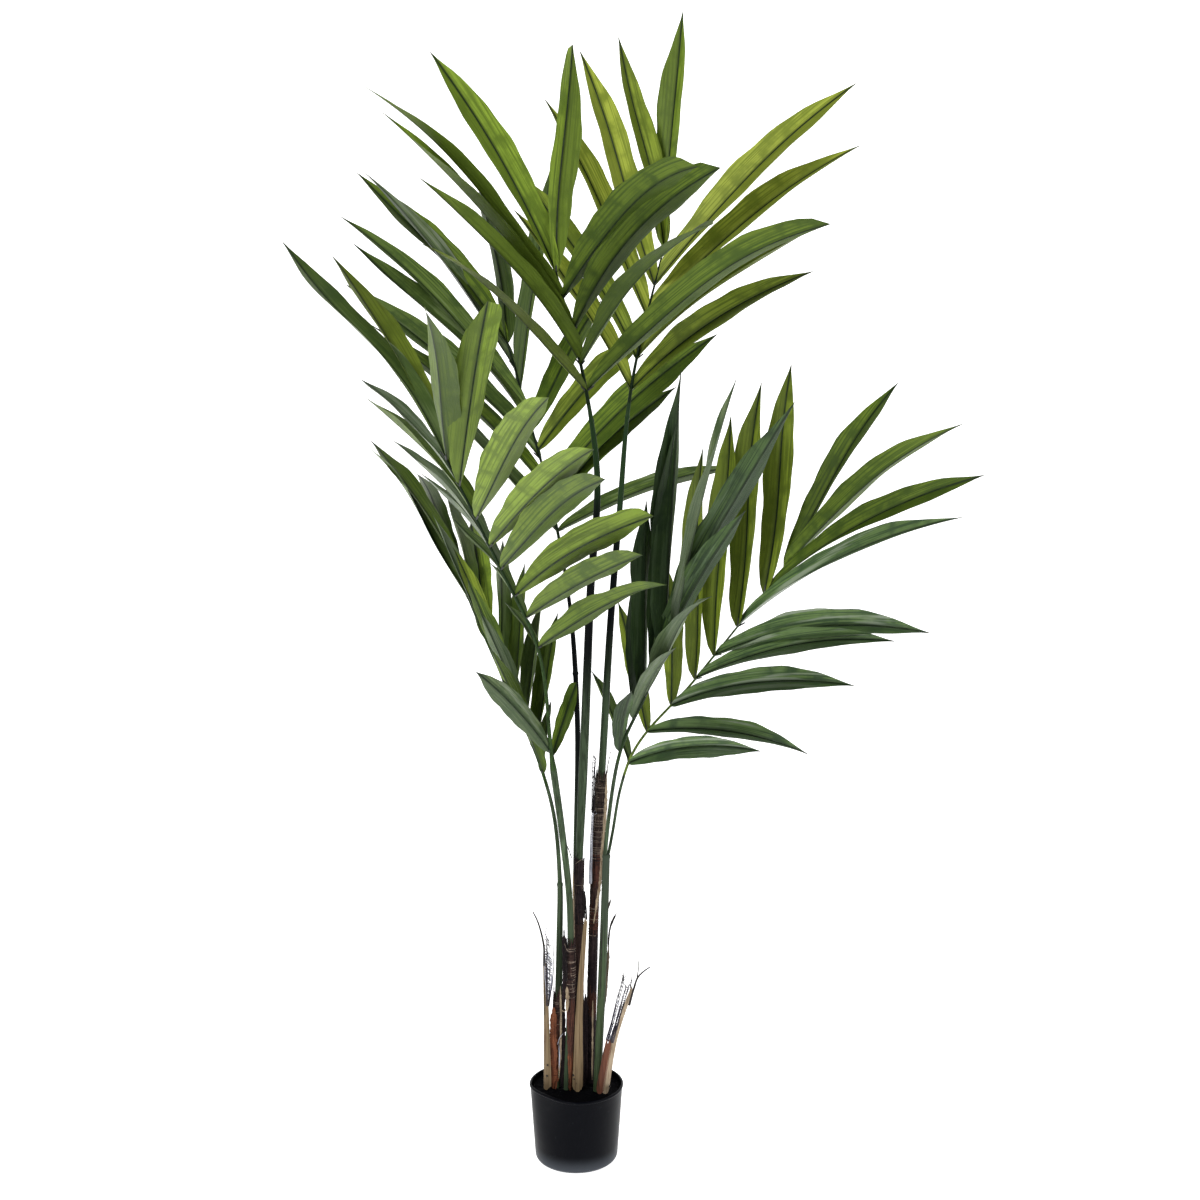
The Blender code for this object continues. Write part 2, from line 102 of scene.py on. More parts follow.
def one_axis(made, axis, along="object"):
    """The X, Y or Z of those coordinates as a value."""
    split = made.node_tree.nodes.new("ShaderNodeSeparateXYZ")
    made.node_tree.links.new(coordinates(made, along), split.inputs["Vector"])
    return split.outputs[axis]


def pattern(made, stretch, along="object", detail=4.0):
    """A noise value over the piece. stretch is its cells per metre along each axis."""
    nodes, links = made.node_tree.nodes, made.node_tree.links
    mapping = nodes.new("ShaderNodeMapping")
    mapping.inputs["Scale"].default_value = stretch
    noise = nodes.new("ShaderNodeTexNoise")
    noise.inputs["Scale"].default_value = 1.0
    noise.inputs["Detail"].default_value = detail
    links.new(coordinates(made, along), mapping.inputs["Vector"])
    links.new(mapping.outputs["Vector"], noise.inputs["Vector"])
    return noise.outputs["Fac"]


def tint(made, value, low, high, colour, most=1.0):
    """Blends colour over the base colour, up to most, as value goes from low to high."""
    nodes, links = made.node_tree.nodes, made.node_tree.links
    base = nodes["Principled BSDF"].inputs["Base Color"]
    ramp = nodes.new("ShaderNodeMapRange")
    ramp.interpolation_type = 'SMOOTHSTEP'
    ramp.inputs["From Min"].default_value = low
    ramp.inputs["From Max"].default_value = high
    ramp.inputs["To Max"].default_value = most
    mix = nodes.new("ShaderNodeMix")
    mix.data_type = 'RGBA'
    links.new(value, ramp.inputs["Value"])
    links.new(ramp.outputs["Result"], mix.inputs["Factor"])
    if base.is_linked:
        links.new(base.links[0].from_socket, mix.inputs["A"])
    else:
        mix.inputs["A"].default_value = base.default_value
    mix.inputs["B"].default_value = (*colour, 1)
    links.new(mix.outputs["Result"], base)


def relief(made, value, depth, strength=1.0):
    """Bumps the surface by value, up to depth metres."""
    nodes, links = made.node_tree.nodes, made.node_tree.links
    bump = nodes.new("ShaderNodeBump")
    bump.inputs["Distance"].default_value = depth
    bump.inputs["Strength"].default_value = strength
    links.new(value, bump.inputs["Height"])
    links.new(bump.outputs["Normal"], nodes["Principled BSDF"].inputs["Normal"])
    return made


def turns(count):
    """Angles evenly spaced round a full turn."""
    return [FULL_TURN * j / count for j in range(count)]


def bridge(rings):
    """Points and faces of one body through rings of points, closed flat at both ends."""
    count = len(rings[0])
    points = [p for ring in rings for p in ring]
    faces = [tuple(reversed(range(count)))]
    for low in range(0, len(points) - count, count):
        faces += [(low + j, low + (j + 1) % count, low + count + (j + 1) % count, low + count + j)
                  for j in range(count)]
    return points, faces + [tuple(range(len(points) - count, len(points)))]


def piece(name, shapes, finishes, slot, *nodes, crease=35, grain=None):
    """One object from shapes of points, faces and number of finish, sharp above the crease angle.

    The number is that of all the shape's faces, or a list with one for each face.
    """
    points, faces, slots = [], [], []
    for shape_points, shape_faces, number in shapes:
        start = len(points)
        points += [tuple(map(float, p)) for p in shape_points]
        faces += [tuple(start + k for k in face) for face in shape_faces]
        slots += [number] * len(shape_faces) if isinstance(number, int) else list(number)
    mesh = bpy.data.meshes.new(name)
    mesh.from_pydata(points, [], faces)
    for made in finishes:
        mesh.materials.append(made)
    mesh.polygons.foreach_set("material_index", slots)
    mesh.shade_smooth()
    mesh.set_sharp_from_angle(angle=math.radians(crease))
    if grain is not None:
        layer = mesh.uv_layers.new(name="grain")
        corner = np.empty(len(mesh.loops), int)
        mesh.loops.foreach_get("vertex_index", corner)
        layer.data.foreach_set("uv", np.array(grain, float)[corner].ravel())
    made = bpy.data.objects.new(name, mesh)
    bpy.context.scene.collection.objects.link(made)
    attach(made, "root")
    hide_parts(*nodes)


def wall_radius(angle, height):
    """The pot's outer radius, smaller where the rim is pressed in."""
    radius = POT_FOOT_RADIUS + (POT_RIM_RADIUS - POT_FOOT_RADIUS) * height / POT_HEIGHT
    away = (angle - DENT_ANGLE + math.pi) % FULL_TURN - math.pi
    if abs(away) >= DENT_SPREAD:
        return radius
    fade = max(0.0, 1 - (POT_HEIGHT - height) / DENT_REACH)
    return radius - DENT_DEPTH * fade * math.cos(QUARTER_TURN * away / DENT_SPREAD) ** 2


def pot_ring(inset, height):
    """A ring round the pot, inset from its outside."""
    return [(math.cos(a) * (wall_radius(a, height) - inset),
             math.sin(a) * (wall_radius(a, height) - inset), height)
            for a in turns(POT_SEGMENTS)]


foot_edge = [(POT_FOOT_ROUND * (1 - math.sin(a)), POT_FOOT_ROUND * (1 - math.cos(a)))
             for a in np.linspace(0, QUARTER_TURN, POT_FOOT_RINGS)]
wall_heights = list(np.linspace(*POT_WALL_BAND, POT_WALL_RINGS))
bead = [(-POT_BEAD_DEPTH * math.cos(a), POT_BEAD_MIDDLE + POT_BEAD_HALF * math.sin(a))
        for a in np.linspace(-POT_BEAD_TURN, POT_BEAD_TURN, POT_BEAD_RINGS)]
lip = [(inset, POT_HEIGHT) for inset in POT_LIP_FLAT] + [(POT_WALL, POT_HEIGHT - POT_LIP_ROUND)]
pot_profile = (foot_edge + [(0.0, h) for h in wall_heights] + bead + lip
               + [(POT_WALL, h) for h in reversed(wall_heights)]
               + [(POT_WALL + POT_FLOOR_INSET, POT_FLOOR)])
pot_black = finish("pot_black", srgb(2, 3, 8), 0.36, specular=0.055)
tint(pot_black, pattern(pot_black, (9, 9, 14)), 0.50, 0.85, srgb(6, 9, 14))
tint(pot_black, pattern(pot_black, (90, 90, 90), detail=6), 0.66, 0.88, srgb(40, 43, 47))
tint(pot_black, one_axis(pot_black, "Z"), POT_DUST_TOP, 0.0, srgb(66, 70, 76))
relief(pot_black, pattern(pot_black, (25, 25, 60)), 0.0006, 0.5)
piece("pot_skin", [(*bridge([pot_ring(*p) for p in pot_profile]), 0)], [pot_black], "pot", "pot")

# ---------------------------------------------------------------- filling
# Cement poured into the pot to weight it, with its top roughly trowelled and painted black. The
# stalks and the cut leaf bases are set in it.
FILLING_TOP = 0.115
FILLING_RINGS = 14
FILLING_CENTRE = 0.02
FILLING_GAP = 0.0007
# The lower rings of its side: share of the pot's inner radius, and height.
FILLING_SIDE = ((0.9, POT_FLOOR + 0.002), (0.93, 0.06))
LUMP_HEIGHT = 0.0008
LUMPS_ACROSS = 210
LUMPS_DEEP = 190
LUMP_SHIFT = 1.3
LUMP_BEND = 3
LUMP_BENDS = 170


def filling_ring(share):
    """A ring of the trowelled top, at a share of the pot's inner radius."""
    ring = []
    for a in turns(POT_SEGMENTS):
        radius = share * (wall_radius(a, FILLING_TOP) - POT_WALL - FILLING_GAP)
        x, y = radius * math.cos(a), radius * math.sin(a)
        lump = math.sin(LUMPS_ACROSS * x + LUMP_BEND * math.sin(LUMP_BENDS * y))
        lump *= math.sin(LUMPS_DEEP * y + LUMP_SHIFT)
        ring.append((x, y, FILLING_TOP + LUMP_HEIGHT * lump))
    return ring


cement = finish("cement_black", srgb(3, 3, 5), 0.9, specular=0.03)
tint(cement, pattern(cement, (160, 160, 160), detail=6), 0.60, 0.80, srgb(16, 14, 15))
relief(cement, pattern(cement, (320, 320, 320)), 0.0012)
side = [[(x, y, height) for x, y, _ in filling_ring(share)] for share, height in FILLING_SIDE]
rings = side + [filling_ring(s) for s in np.linspace(1, FILLING_CENTRE, FILLING_RINGS)]
piece("filling_skin", [(*bridge(rings), 0)], [cement], "filling", "pot_filling")

# ---------------------------------------------------------------- stalks
# Leaf stalks of green plastic moulded over wire, most of them in two lengths with a ring where they
# plug together. The three tall ones are printed nearly black higher up. The thick short one at the
# right carries two thin ones, and shreds of husk and string hang on it.
FOOT = FILLING_TOP + 0.0003
STALK_SIDES = 20
STALK_RING_EVERY = 0.012
STALK_RIBS = 5
STALK_RIB_DEPTH = 0.03
JOINT_SWELL = 0.0009
JOINT_WIDTH = 0.0035
PAIR_JOINT_BELOW_END = 0.003
LOOK_AHEAD = 0.004
STRIP_RING_EVERY = 0.004
STRIP_FEWEST_RINGS = 6
STRIP_ROUGH = 0.14
STRIP_THICK = 0.0005
STRIP_SIDES = 8
STRIP_START = 0.25
STRIP_END = 0.15
STRIP_SPREAD = 5
PAIR_SEED = 30
STALK_GREEN = srgb(60, 74, 54)
STALK_BLACK = srgb(5, 8, 10)
STALK_TOP = srgb(34, 54, 30)
# line: centre points. radii: by distance along the line. neck: the distance where the frond's rib
# takes over. joints: distances of the rings. dark: heights between which the green darkens. again:
# heights between which it comes back. rib: the greens of the frond's rib, if not the usual ones.
STALKS = {
    "front_left": dict(
        line=[(-.0150, -.008, FOOT), (-.0085, -.017, .320), (-.0100, -.021, .430),
              (-.0212, -.033, .545), (-.0345, -.052, .655), (-.053, -.115, .84), (-.101, -.190, .964),
              (-.168, -.290, 1.127)],
        radii=[(0, .0056), (.30, .0051), (.36, .0053), (.53, .0056), (.56, .0030), (1.1, .0016)],
        neck=.532, joints=[], dark=(.70, 1.10)),
    "left": dict(
        line=[(-.0320, .000, FOOT), (-.0262, .005, .360), (-.0255, .008, .450), (-.0385, .017, .5735),
              (-.0520, .025, .620), (-.109, .065, .747), (-.182, .130, .904), (-.196, .150, .940)],
        radii=[(0, .0062), (.15, .0060), (.325, .0046), (.34, .0036), (.50, .0028), (.88, .0014)],
        neck=.487, joints=[.330], dark=(.70, 1.2)),
    "centre": dict(
        line=[(.0045, .004, FOOT), (.0052, .001, .490), (.0100, -.007, .600), (.0135, -.014, .680),
              (.023, -.040, .913), (.033, -.080, 1.097), (.016, -.120, 1.221), (-.024, -.190, 1.378)],
        radii=[(0, .0058), (.38, .0058), (.50, .0072), (.80, .0062), (1.0, .0046), (1.1, .0028),
               (1.29, .0015)],
        neck=1.090, joints=[1.065], dark=(.66, .84), again=(1.02, 1.10)),
    "back_left": dict(
        line=[(-.0040, .022, FOOT), (-.0004, .020, .480), (.0015, .036, .720), (-.009, .060, .872),
              (-.040, .100, 1.041), (-.083, .150, 1.193), (-.113, .185, 1.293)],
        radii=[(0, .0048), (.62, .0043), (.70, .0040), (.80, .0028), (1.2, .0014)],
        neck=.865, joints=[.66], dark=(.35, .70)),
    "top_right": dict(
        line=[(.0215, .018, FOOT), (.0255, .019, .300), (.0320, .023, .496), (.0400, .025, .620),
              (.055, .035, .875), (.067, .050, 1.021), (.085, .075, 1.212), (.138, .115, 1.438)],
        radii=[(0, .0050), (.30, .0048), (.42, .0060), (.62, .0060), (.85, .0052), (1.0, .0040),
               (1.1, .0026), (1.34, .0014)],
        neck=1.082, joints=[1.06], dark=(.70, .87), again=(.96, 1.06)),
    "right_front": dict(
        line=[(.0450, -.0120, .4990), (.0515, -.0175, .565), (.068, -.050, .671), (.103, -.115, .768),
              (.155, -.250, .922)],
        radii=[(0, .0034), (.18, .0028), (.51, .0014)],
        neck=.159, joints=[], dark=(.55, .80)),
    "right": dict(
        line=[(.0506, -.0055, .4987), (.0568, .001, .530), (.0690, .010, .598), (.0820, .018, .639),
              (.187, .055, .763), (.334, .105, .937)],
        radii=[(0, .0025), (.14, .0023), (.55, .0013)],
        neck=.124, joints=[], dark=(.60, .84), rib=(srgb(104, 124, 54), srgb(52, 70, 34))),
}
# The thick stalk that carries the two thin ones at the right.
PAIR_STALK = dict(
    line=[(.0325, -.014, FOOT), (.0384, -.012, .247), (.0431, -.011, .365), (.0472, -.009, .4985)],
    radii=[(0, .0063), (.15, .0067), (.30, .0063), (.385, .0059)])
# Husk and string left on the thick stalk: 1 for husk or 2 for string, width and points.
PAIR_STRIPS = [
    (1, .0042,
     [(.0512, -.006, .352), (.0497, -.007, .322), (.0477, -.008, .294), (.0450, -.009, .250)]),
    (2, .0032,
     [(.0505, -.006, .345), (.0515, -.006, .366), (.0540, -.006, .382), (.0582, -.006, .393),
      (.0640, -.006, .4045)]),
    (2, .0030,
     [(.0455, -.013, .396), (.0480, -.013, .408), (.0510, -.013, .4170), (.0546, -.012, .4285)]),
    (2, .0013, [(.0405, -.0175, .395), (.0395, -.0180, .340), (.0385, -.0180, .270)]),
]


def unit(vector):
    """The vector at a length of one."""
    vector = np.asarray(vector, float)
    return vector / np.linalg.norm(vector)


def around(angle, across, over):
    """The direction at an angle from one axis towards the other."""
    return math.cos(angle) * across + math.sin(angle) * over


def smooth_line(points, steps=24):
    """A smooth curve through the points, as dense points and their distance along it."""
    points = np.array(points, float)
    ends = np.vstack([2 * points[0] - points[1], points, 2 * points[-1] - points[-2]])
    dense = []
    for i in range(len(points) - 1):
        before, start, end, after = ends[i:i + 4]
        reach = np.linalg.norm(end - start)
        reach_before = np.linalg.norm(start - before)
        reach_after = np.linalg.norm(after - end)
        leave = ((start - before) / reach_before * reach + (end - start) / reach * reach_before)
        leave *= reach / (reach + reach_before)
        arrive = ((end - start) / reach * reach_after + (after - end) / reach_after * reach)
        arrive *= reach / (reach + reach_after)
        for t in np.arange(steps) / steps:
            dense.append((2 * t**3 - 3 * t**2 + 1) * start + (t**3 - 2 * t**2 + t) * leave
                         + (3 * t**2 - 2 * t**3) * end + (t**3 - t**2) * arrive)
    dense = np.array(dense + [points[-1]])
    lengths = np.linalg.norm(np.diff(dense, axis=0), axis=1)
    return dense, np.concatenate([[0.0], np.cumsum(lengths)])


def place(line, distance):
    """The point at a distance along a smooth line, and the line's direction there."""
    dense, along = line
    point, ahead, behind = (
        np.array([np.interp(distance + shift, along, dense[:, k]) for k in range(3)])
        for shift in (0.0, LOOK_AHEAD, -LOOK_AHEAD))
    return point, unit(ahead - behind)


def place_from_foot(line, distance):
    """The same, with the direction straight up at the foot, which is cut level."""
    point, direction = place(line, distance)
    return point, direction if distance > 0 else np.array([0, 0, 1.0])


def ring_axes(direction):
    """Two axes square to a direction, the first towards the right."""
    first = unit(np.array([1.0, 0, 0]) - direction[0] * direction)
    return first, np.cross(direction, first)


def limb(line, radii, start, end, joints=(), sides=STALK_SIDES, every=STALK_RING_EVERY):
    """A limb of slightly ribbed section, with a swelling at each joint."""
    stations = list(np.arange(start, end, every)) + [end]
    for joint in joints:
        stations += [joint + k * JOINT_WIDTH / 4 for k in range(-4, 5)]
    rings = []
    for distance in sorted(s for s in stations if start <= s <= end):
        point, direction = place_from_foot(line, distance)
        axes = ring_axes(direction)
        radius = np.interp(distance, *zip(*radii))
        for joint in joints:
            near = max(0.0, 1 - abs(distance - joint) / JOINT_WIDTH)
            radius += JOINT_SWELL * math.sin(QUARTER_TURN * near)
        rings.append([
            point + radius * (1 - STALK_RIB_DEPTH + STALK_RIB_DEPTH * math.cos(STALK_RIBS * a))
            * around(a, *axes) for a in turns(sides)])
    return bridge(rings)


def stalk_finish(name, low, high, pale, deep, again=None):
    """Green plastic, streaked lengthwise, that darkens between two heights and may end green."""
    made = finish(name, pale, 0.42, specular=0.06)
    tint(made, pattern(made, (420, 420, 9)), 0.42, 0.66, times(0.45, pale))
    tint(made, pattern(made, (160, 160, 5)), 0.56, 0.70, times(1.7, pale))
    tint(made, one_axis(made, "Z"), low, high, deep)
    if again:
        tint(made, one_axis(made, "Z"), *again, STALK_TOP)
    return relief(made, pattern(made, (900, 900, 25)), 0.0003, 0.6)


def strip(points, width, rng):
    """A flat torn strip that faces the front, with uneven edges and thin ends."""
    line = smooth_line(points)
    rings = []
    count = max(STRIP_FEWEST_RINGS, round(line[1][-1] / STRIP_RING_EVERY))
    for share in np.linspace(0, 1, count):
        point, direction = place(line, share * line[1][-1])
        across = unit(np.cross(direction, (0.0, 1.0, 0.0)))
        facing = np.cross(across, direction)
        half = 0.5 * width * min(1.0, STRIP_START + STRIP_SPREAD * share,
                                 STRIP_END + STRIP_SPREAD * (1 - share))
        half *= 1 + STRIP_ROUGH * rng.normal()
        rings.append([point + half * math.cos(a) * across + STRIP_THICK * math.sin(a) * facing
                      for a in turns(STRIP_SIDES)])
    return bridge(rings)


lines = {name: smooth_line(stalk["line"]) for name, stalk in STALKS.items()}
for name, stalk in STALKS.items():
    made = stalk_finish("stalk_" + name, *stalk["dark"], STALK_GREEN, STALK_BLACK,
                        stalk.get("again"))
    shape = limb(lines[name], stalk["radii"], 0.0, stalk["neck"], stalk["joints"])
    piece("stalk_skin_" + name, [(*shape, 0)], [made], "stalk_green", "stalk_" + name)

pair_line = smooth_line(PAIR_STALK["line"])
pair_end = pair_line[1][-1]
pair_green = stalk_finish("stalk_pair", .20, .50, srgb(60, 74, 50), srgb(56, 66, 54))
pair_husk = finish("stalk_husk", srgb(112, 100, 84), 0.8, specular=0.1)
tint(pair_husk, pattern(pair_husk, (500, 500, 25)), 0.42, 0.70, srgb(66, 58, 50))
pair_string = finish("stalk_string", srgb(40, 38, 36), 0.8, specular=0.1)
tint(pair_string, pattern(pair_string, (200, 200, 60)), 0.45, 0.75, srgb(70, 64, 58))
rng = np.random.default_rng(PAIR_SEED)
pair = limb(pair_line, PAIR_STALK["radii"], 0.0, pair_end, [pair_end - PAIR_JOINT_BELOW_END])
shapes = [(*pair, 0)]
shapes += [(*strip(points, width, rng), number) for number, width, points in PAIR_STRIPS]
piece("stalk_skin_right_pair", shapes, [pair_green, pair_husk, pair_string], "stalk_green",
      "stalk_right_pair")

# ---------------------------------------------------------------- sheaths
# Torn leaf sheaths of coarse brown fibre, glued round the feet of four stalks. Each is split down
# one side. Low down two are rust-coloured and two dark, and higher up all are worn to a net of
# cross threads, with frayed tops and edges.
SHEATH_GAP = 0.0010
SHEATH_SEED = 40
SHEATH_ROUND = 34
SHEATH_RING_EVERY = 0.004
SHEATH_TAPER = 0.7
SHEATH_ROUGH = 0.10
SHEATH_EDGE_SWING = math.radians(50)
SHEATH_FRAY_LIMITS = (-1.2, 0.6)
SHEATH_ZONE_BLUR = 0.007
THREAD_KINDS = ["grey_thread", "black_thread", "brown"]
THREAD_POINTS = 14
THREAD_DRIFT = 0.0006
THREAD_SLOPE = 0.0020
THREAD_SHORTEST = 0.35
THREAD_WHOLE = (0.02, 0.98)
CROSS_SIZES = (0.00035, 0.00085)
CROSS_LIFT = 0.0002
WARP_SIZES = (0.00035, 0.00060)
WARP_LIFT = 0.0003
WARP_POINTS = 8
WARP_DRIFT = 0.02
WARP_LEAN = 0.2
WARP_LENGTHS = (0.02, 0.07)
WARP_LOOSE_ENDS = (0.006, 0.020)
NET_THREAD = 0.00070
NET_UPRIGHT_SIZES = (0.8, 1.3)
NET_BORDER = 1.5
NET_DRIFT = 0.05
NET_TOPS = (0.86, 1.0)
NET_LOOSE_ENDS = (0.004, 0.014)
NET_LAST_RUNG = 0.95
NET_RUNG_ENDS = (-0.1, 1.1)
NET_SHORTEST_RUNG = 0.4
NET_RUNG_SIZES = (0.6, 1.0)
NET_RUNG_SHIFT = 0.5
NET_RUNG_BEND = 0.5
# open_foot, open_top: middle and width of the split in degrees. fray: how far the top frays. warps:
# number of long threads. zones: fibre from each height up. bands: low, high and number of cross
# threads. strips: fibre, width and points of what hangs on. nets: fibre, uprights, spacing of rungs,
# left edge and right edge of what stands off.
SHEATHS = {
    "left": dict(
        top=.270, wall=.0016, open_foot=(10, 190), open_top=(80, 150), fray=.016, warps=8,
        zones=((0, "orange"), (.165, "rust"), (.225, "brown")),
        bands=((.225, .262, 9),),
        strips=[("orange", .0122,
                 [(-.0352, -.0085, .250), (-.0362, -.0095, .200), (-.0368, -.0105, .117)]),
                ("husk", .0036,
                 [(-.0245, -.010, .286), (-.0239, -.010, .230), (-.0249, -.011, .180),
                  (-.0274, -.012, .134)]),
                ("white_thread", .0011,
                 [(-.0290, -.0125, .190), (-.0255, -.0130, .203), (-.0205, -.0130, .209)]),
                ("white_thread", .0018,
                 [(-.0272, -.0125, .190), (-.0262, -.0130, .168), (-.0272, -.0130, .150)])],
        nets=[]),
    "front_left": dict(
        top=.362, wall=.0019, open_foot=(195, 210), open_top=(110, 120), fray=.010, warps=16,
        zones=((0, "orange"), (.170, "rust"), (.262, "brown")),
        bands=((.270, .356, 30),),
        strips=[("husk", .0052,
                 [(-.0140, -.0285, .292), (-.0132, -.0275, .275), (-.0142, -.0265, .250)]),
                ("grey_thread", .0009,
                 [(-.0180, -.0270, .362), (-.0120, -.0290, .350), (-.0050, -.0280, .349)]),
                ("husk", .0013,
                 [(-.0235, -.0150, .250), (-.0195, -.0200, .248), (-.0130, -.0260, .257)]),
                ("dark", .0062,
                 [(-.0185, -.0160, .380), (-.0180, -.0140, .306), (-.0190, -.0120, .247)]),
                ("dark", .0100,
                 [(-.0225, -.0060, .262), (-.0215, -.0060, .190), (-.0215, -.0060, .117)])],
        nets=[("black_thread", 4, .0034,
               [(-.0185, -.0250, .300), (-.0200, -.0245, .335), (-.0190, -.0240, .368)],
               [(-.0140, -.0270, .300), (-.0150, -.0265, .335), (-.0140, -.0260, .362)])]),
    "centre": dict(
        top=.488, wall=.0018, open_foot=(90, 170), open_top=(90, 130), fray=.005, warps=12,
        zones=((0, "dark"), (.300, "brown"), (.385, "dark")),
        bands=((.385, .482, 7),),
        strips=[("black_thread", .0014,
                 [(-.0190, .004, .520), (-.0120, .002, .505), (-.0052, .000, .486)]),
                ("husk", .0022,
                 [(-.0042, -.0045, .470), (-.0040, -.0060, .420), (-.0028, -.0070, .350)]),
                ("grey_thread", .0009,
                 [(-.0010, -.0090, .4830), (.0050, -.0098, .4880), (.0100, -.0085, .4910)])],
        nets=[("black_thread", 4, .0036,
               [(.0120, -.0045, .395), (.0125, -.0040, .415), (.0120, -.0040, .440)],
               [(.0165, -.0045, .392), (.0160, -.0040, .412), (.0135, -.0040, .438)])]),
    "top_right": dict(
        top=.617, wall=.0020, open_foot=(80, 150), open_top=(60, 120), fray=.012, warps=22,
        zones=((0, "dark"), (.225, "rust"), (.262, "dark"), (.362, "rust"), (.402, "brown"),
               (.440, "rust"), (.488, "worn")),
        bands=((.360, .404, 13), (.470, .612, 58)),
        strips=[("husk", .0046,
                 [(.0478, .0080, .622), (.0468, .0060, .581), (.0445, .0040, .542),
                  (.0408, .0000, .500), (.0375, -.006, .450), (.0320, -.010, .416),
                  (.0276, -.010, .388)]),
                ("dark", .0080, [(.0146, .0020, .268), (.0145, .0020, .184), (.0144, .0020, .117)]),
                ("brown", .0012, [(.0468, .0120, .608), (.0500, .0150, .636), (.0562, .0200, .662)]),
                ("husk", .0026,
                 [(.0262, -.0045, .260), (.0258, -.0060, .200), (.0250, -.0075, .130)])],
        nets=[("black_thread", 4, .0060,
               [(.0250, .008, .560), (.0255, .007, .610), (.0262, .006, .635), (.0290, .004, .660)],
               [(.0280, .008, .560), (.0292, .007, .610), (.0300, .006, .635), (.0325, .004, .655)]),
              ("white_thread", 5, .0030,
               [(.0205, .008, .446), (.0214, .008, .478), (.0230, .008, .520), (.0250, .008, .565)],
               [(.0238, .008, .446), (.0250, .008, .478), (.0264, .008, .520), (.0278, .008, .565)])]),
}
# Base and streaks of each fibre.
FIBRES = {
    "dark": (srgb(26, 19, 23), srgb(50, 40, 41)),
    "worn": (srgb(66, 55, 49), srgb(34, 26, 25)),
    "brown": (srgb(56, 41, 37), srgb(27, 19, 19)),
    "rust": (srgb(76, 47, 38), srgb(36, 22, 19)),
    "orange": (srgb(116, 70, 48), srgb(60, 32, 24)),
    "husk": (srgb(152, 136, 114), srgb(108, 92, 74)),
    "black_thread": (srgb(34, 29, 31), srgb(16, 14, 15)),
    "grey_thread": (srgb(126, 112, 100), srgb(74, 64, 58)),
    "white_thread": (srgb(176, 178, 188), srgb(120, 120, 130)),
}


def fibre(name, base, streak):
    """Coarse fibre, streaked lengthwise and barred across."""
    made = finish("fibre_" + name, base, 0.85, specular=0.12)
    tint(made, pattern(made, (700, 700, 35), detail=5), 0.46, 0.66, streak)
    tint(made, pattern(made, (110, 110, 600), detail=2), 0.56, 0.74, streak)
    return relief(made, pattern(made, (450, 450, 300), detail=5), 0.0012)


def strand(path, radius, sides=4, taper=0.35):
    """A thread along a path, thinner towards its end."""
    path = np.array(path, float)
    steps = np.gradient(path, axis=0)
    helper = np.eye(3)[np.argmin(np.abs(steps.sum(axis=0)))]
    rings = []
    for i, (point, step) in enumerate(zip(path, steps)):
        direction = unit(step)
        across = unit(np.cross(direction, helper))
        over = np.cross(direction, across)
        thick = radius * (1 - (1 - taper) * i / (len(path) - 1))
        rings.append([point + thick * around(a, across, over) for a in turns(sides)])
    return bridge(rings)


def wander(start, heading, length, rng, curl=0.25, steps=7):
    """A loose thread's path from a point along a heading, which drifts as it goes."""
    path, heading = [np.array(start, float)], unit(heading)
    for _ in range(steps - 1):
        heading = unit(heading + curl * rng.normal(size=3))
        path.append(path[-1] + heading * length / (steps - 1))
    return path


def net(uprights, rung_every, left, right, rng):
    """A worn lattice of threads between two edges, frayed at its top."""
    edges = [smooth_line(edge) for edge in (left, right)]
    every = rung_every / edges[0][1][-1]

    def spot(across, share):
        a, b = (place(edge, share * edge[1][-1])[0] for edge in edges)
        return a + across * (b - a)

    shapes = []
    for k in range(uprights):
        drift = np.cumsum(rng.normal(size=THREAD_POINTS)) * NET_DRIFT
        top = rng.uniform(*NET_TOPS)
        path = [spot(k / (uprights - 1) + d, share * top)
                for d, share in zip(drift, np.linspace(0, 1, THREAD_POINTS))]
        path += wander(path[-1], path[-1] - path[-2], rng.uniform(*NET_LOOSE_ENDS), rng,
                       curl=0.4, steps=5)[1:]
        border = NET_BORDER if k in (0, uprights - 1) else 1.0
        shapes.append(strand(path, NET_THREAD * border * rng.uniform(*NET_UPRIGHT_SIZES)))
    for share in np.arange(0, NET_LAST_RUNG, every):
        share += rng.uniform(0, NET_RUNG_SHIFT) * every
        low, high = sorted(rng.uniform(*NET_RUNG_ENDS, 2))
        if high - low < NET_SHORTEST_RUNG:
            low, high = 0.0, 1.0
        bend = rng.normal() * NET_RUNG_BEND * every
        path = [spot(low, share), spot(0.5 * (low + high), share + bend), spot(high, share)]
        shapes.append(strand(path, NET_THREAD * rng.uniform(*NET_RUNG_SIZES), taper=0.8))
    return shapes


def gutter(rings):
    """A curved wall from rings that run along its outside and back along its inside."""
    points, faces = bridge(rings)
    count = len(rings[0])
    last = len(points) - count
    faces = faces[1:-1]
    for j in range(count // 2 - 1):
        a, b, c, d = j, j + 1, count - 2 - j, count - 1 - j
        faces += [(d, c, b, a), (last + a, last + b, last + c, last + d)]
    return points, faces


def distance_at(line, height):
    """The distance along a line where it reaches a height."""
    return np.interp(height, line[0][:, 2], line[1])


def sheath_wall(line, radii, sheath, distance, end):
    """Centre, axes, inner radius, wall, and the two edge angles of a sheath at a distance."""
    share = distance / end
    point, direction = place_from_foot(line, distance)
    radius = np.interp(distance, *zip(*radii)) + SHEATH_GAP
    wall = sheath["wall"] * (1 - (1 - SHEATH_TAPER) * share)
    at, width = (np.interp(share, (0, 1), pair)
                 for pair in zip(sheath["open_foot"], sheath["open_top"]))
    half = math.radians(360 - width) / 2
    middle = math.radians(at + 180)
    return point, ring_axes(direction), radius, wall, middle - half, middle + half


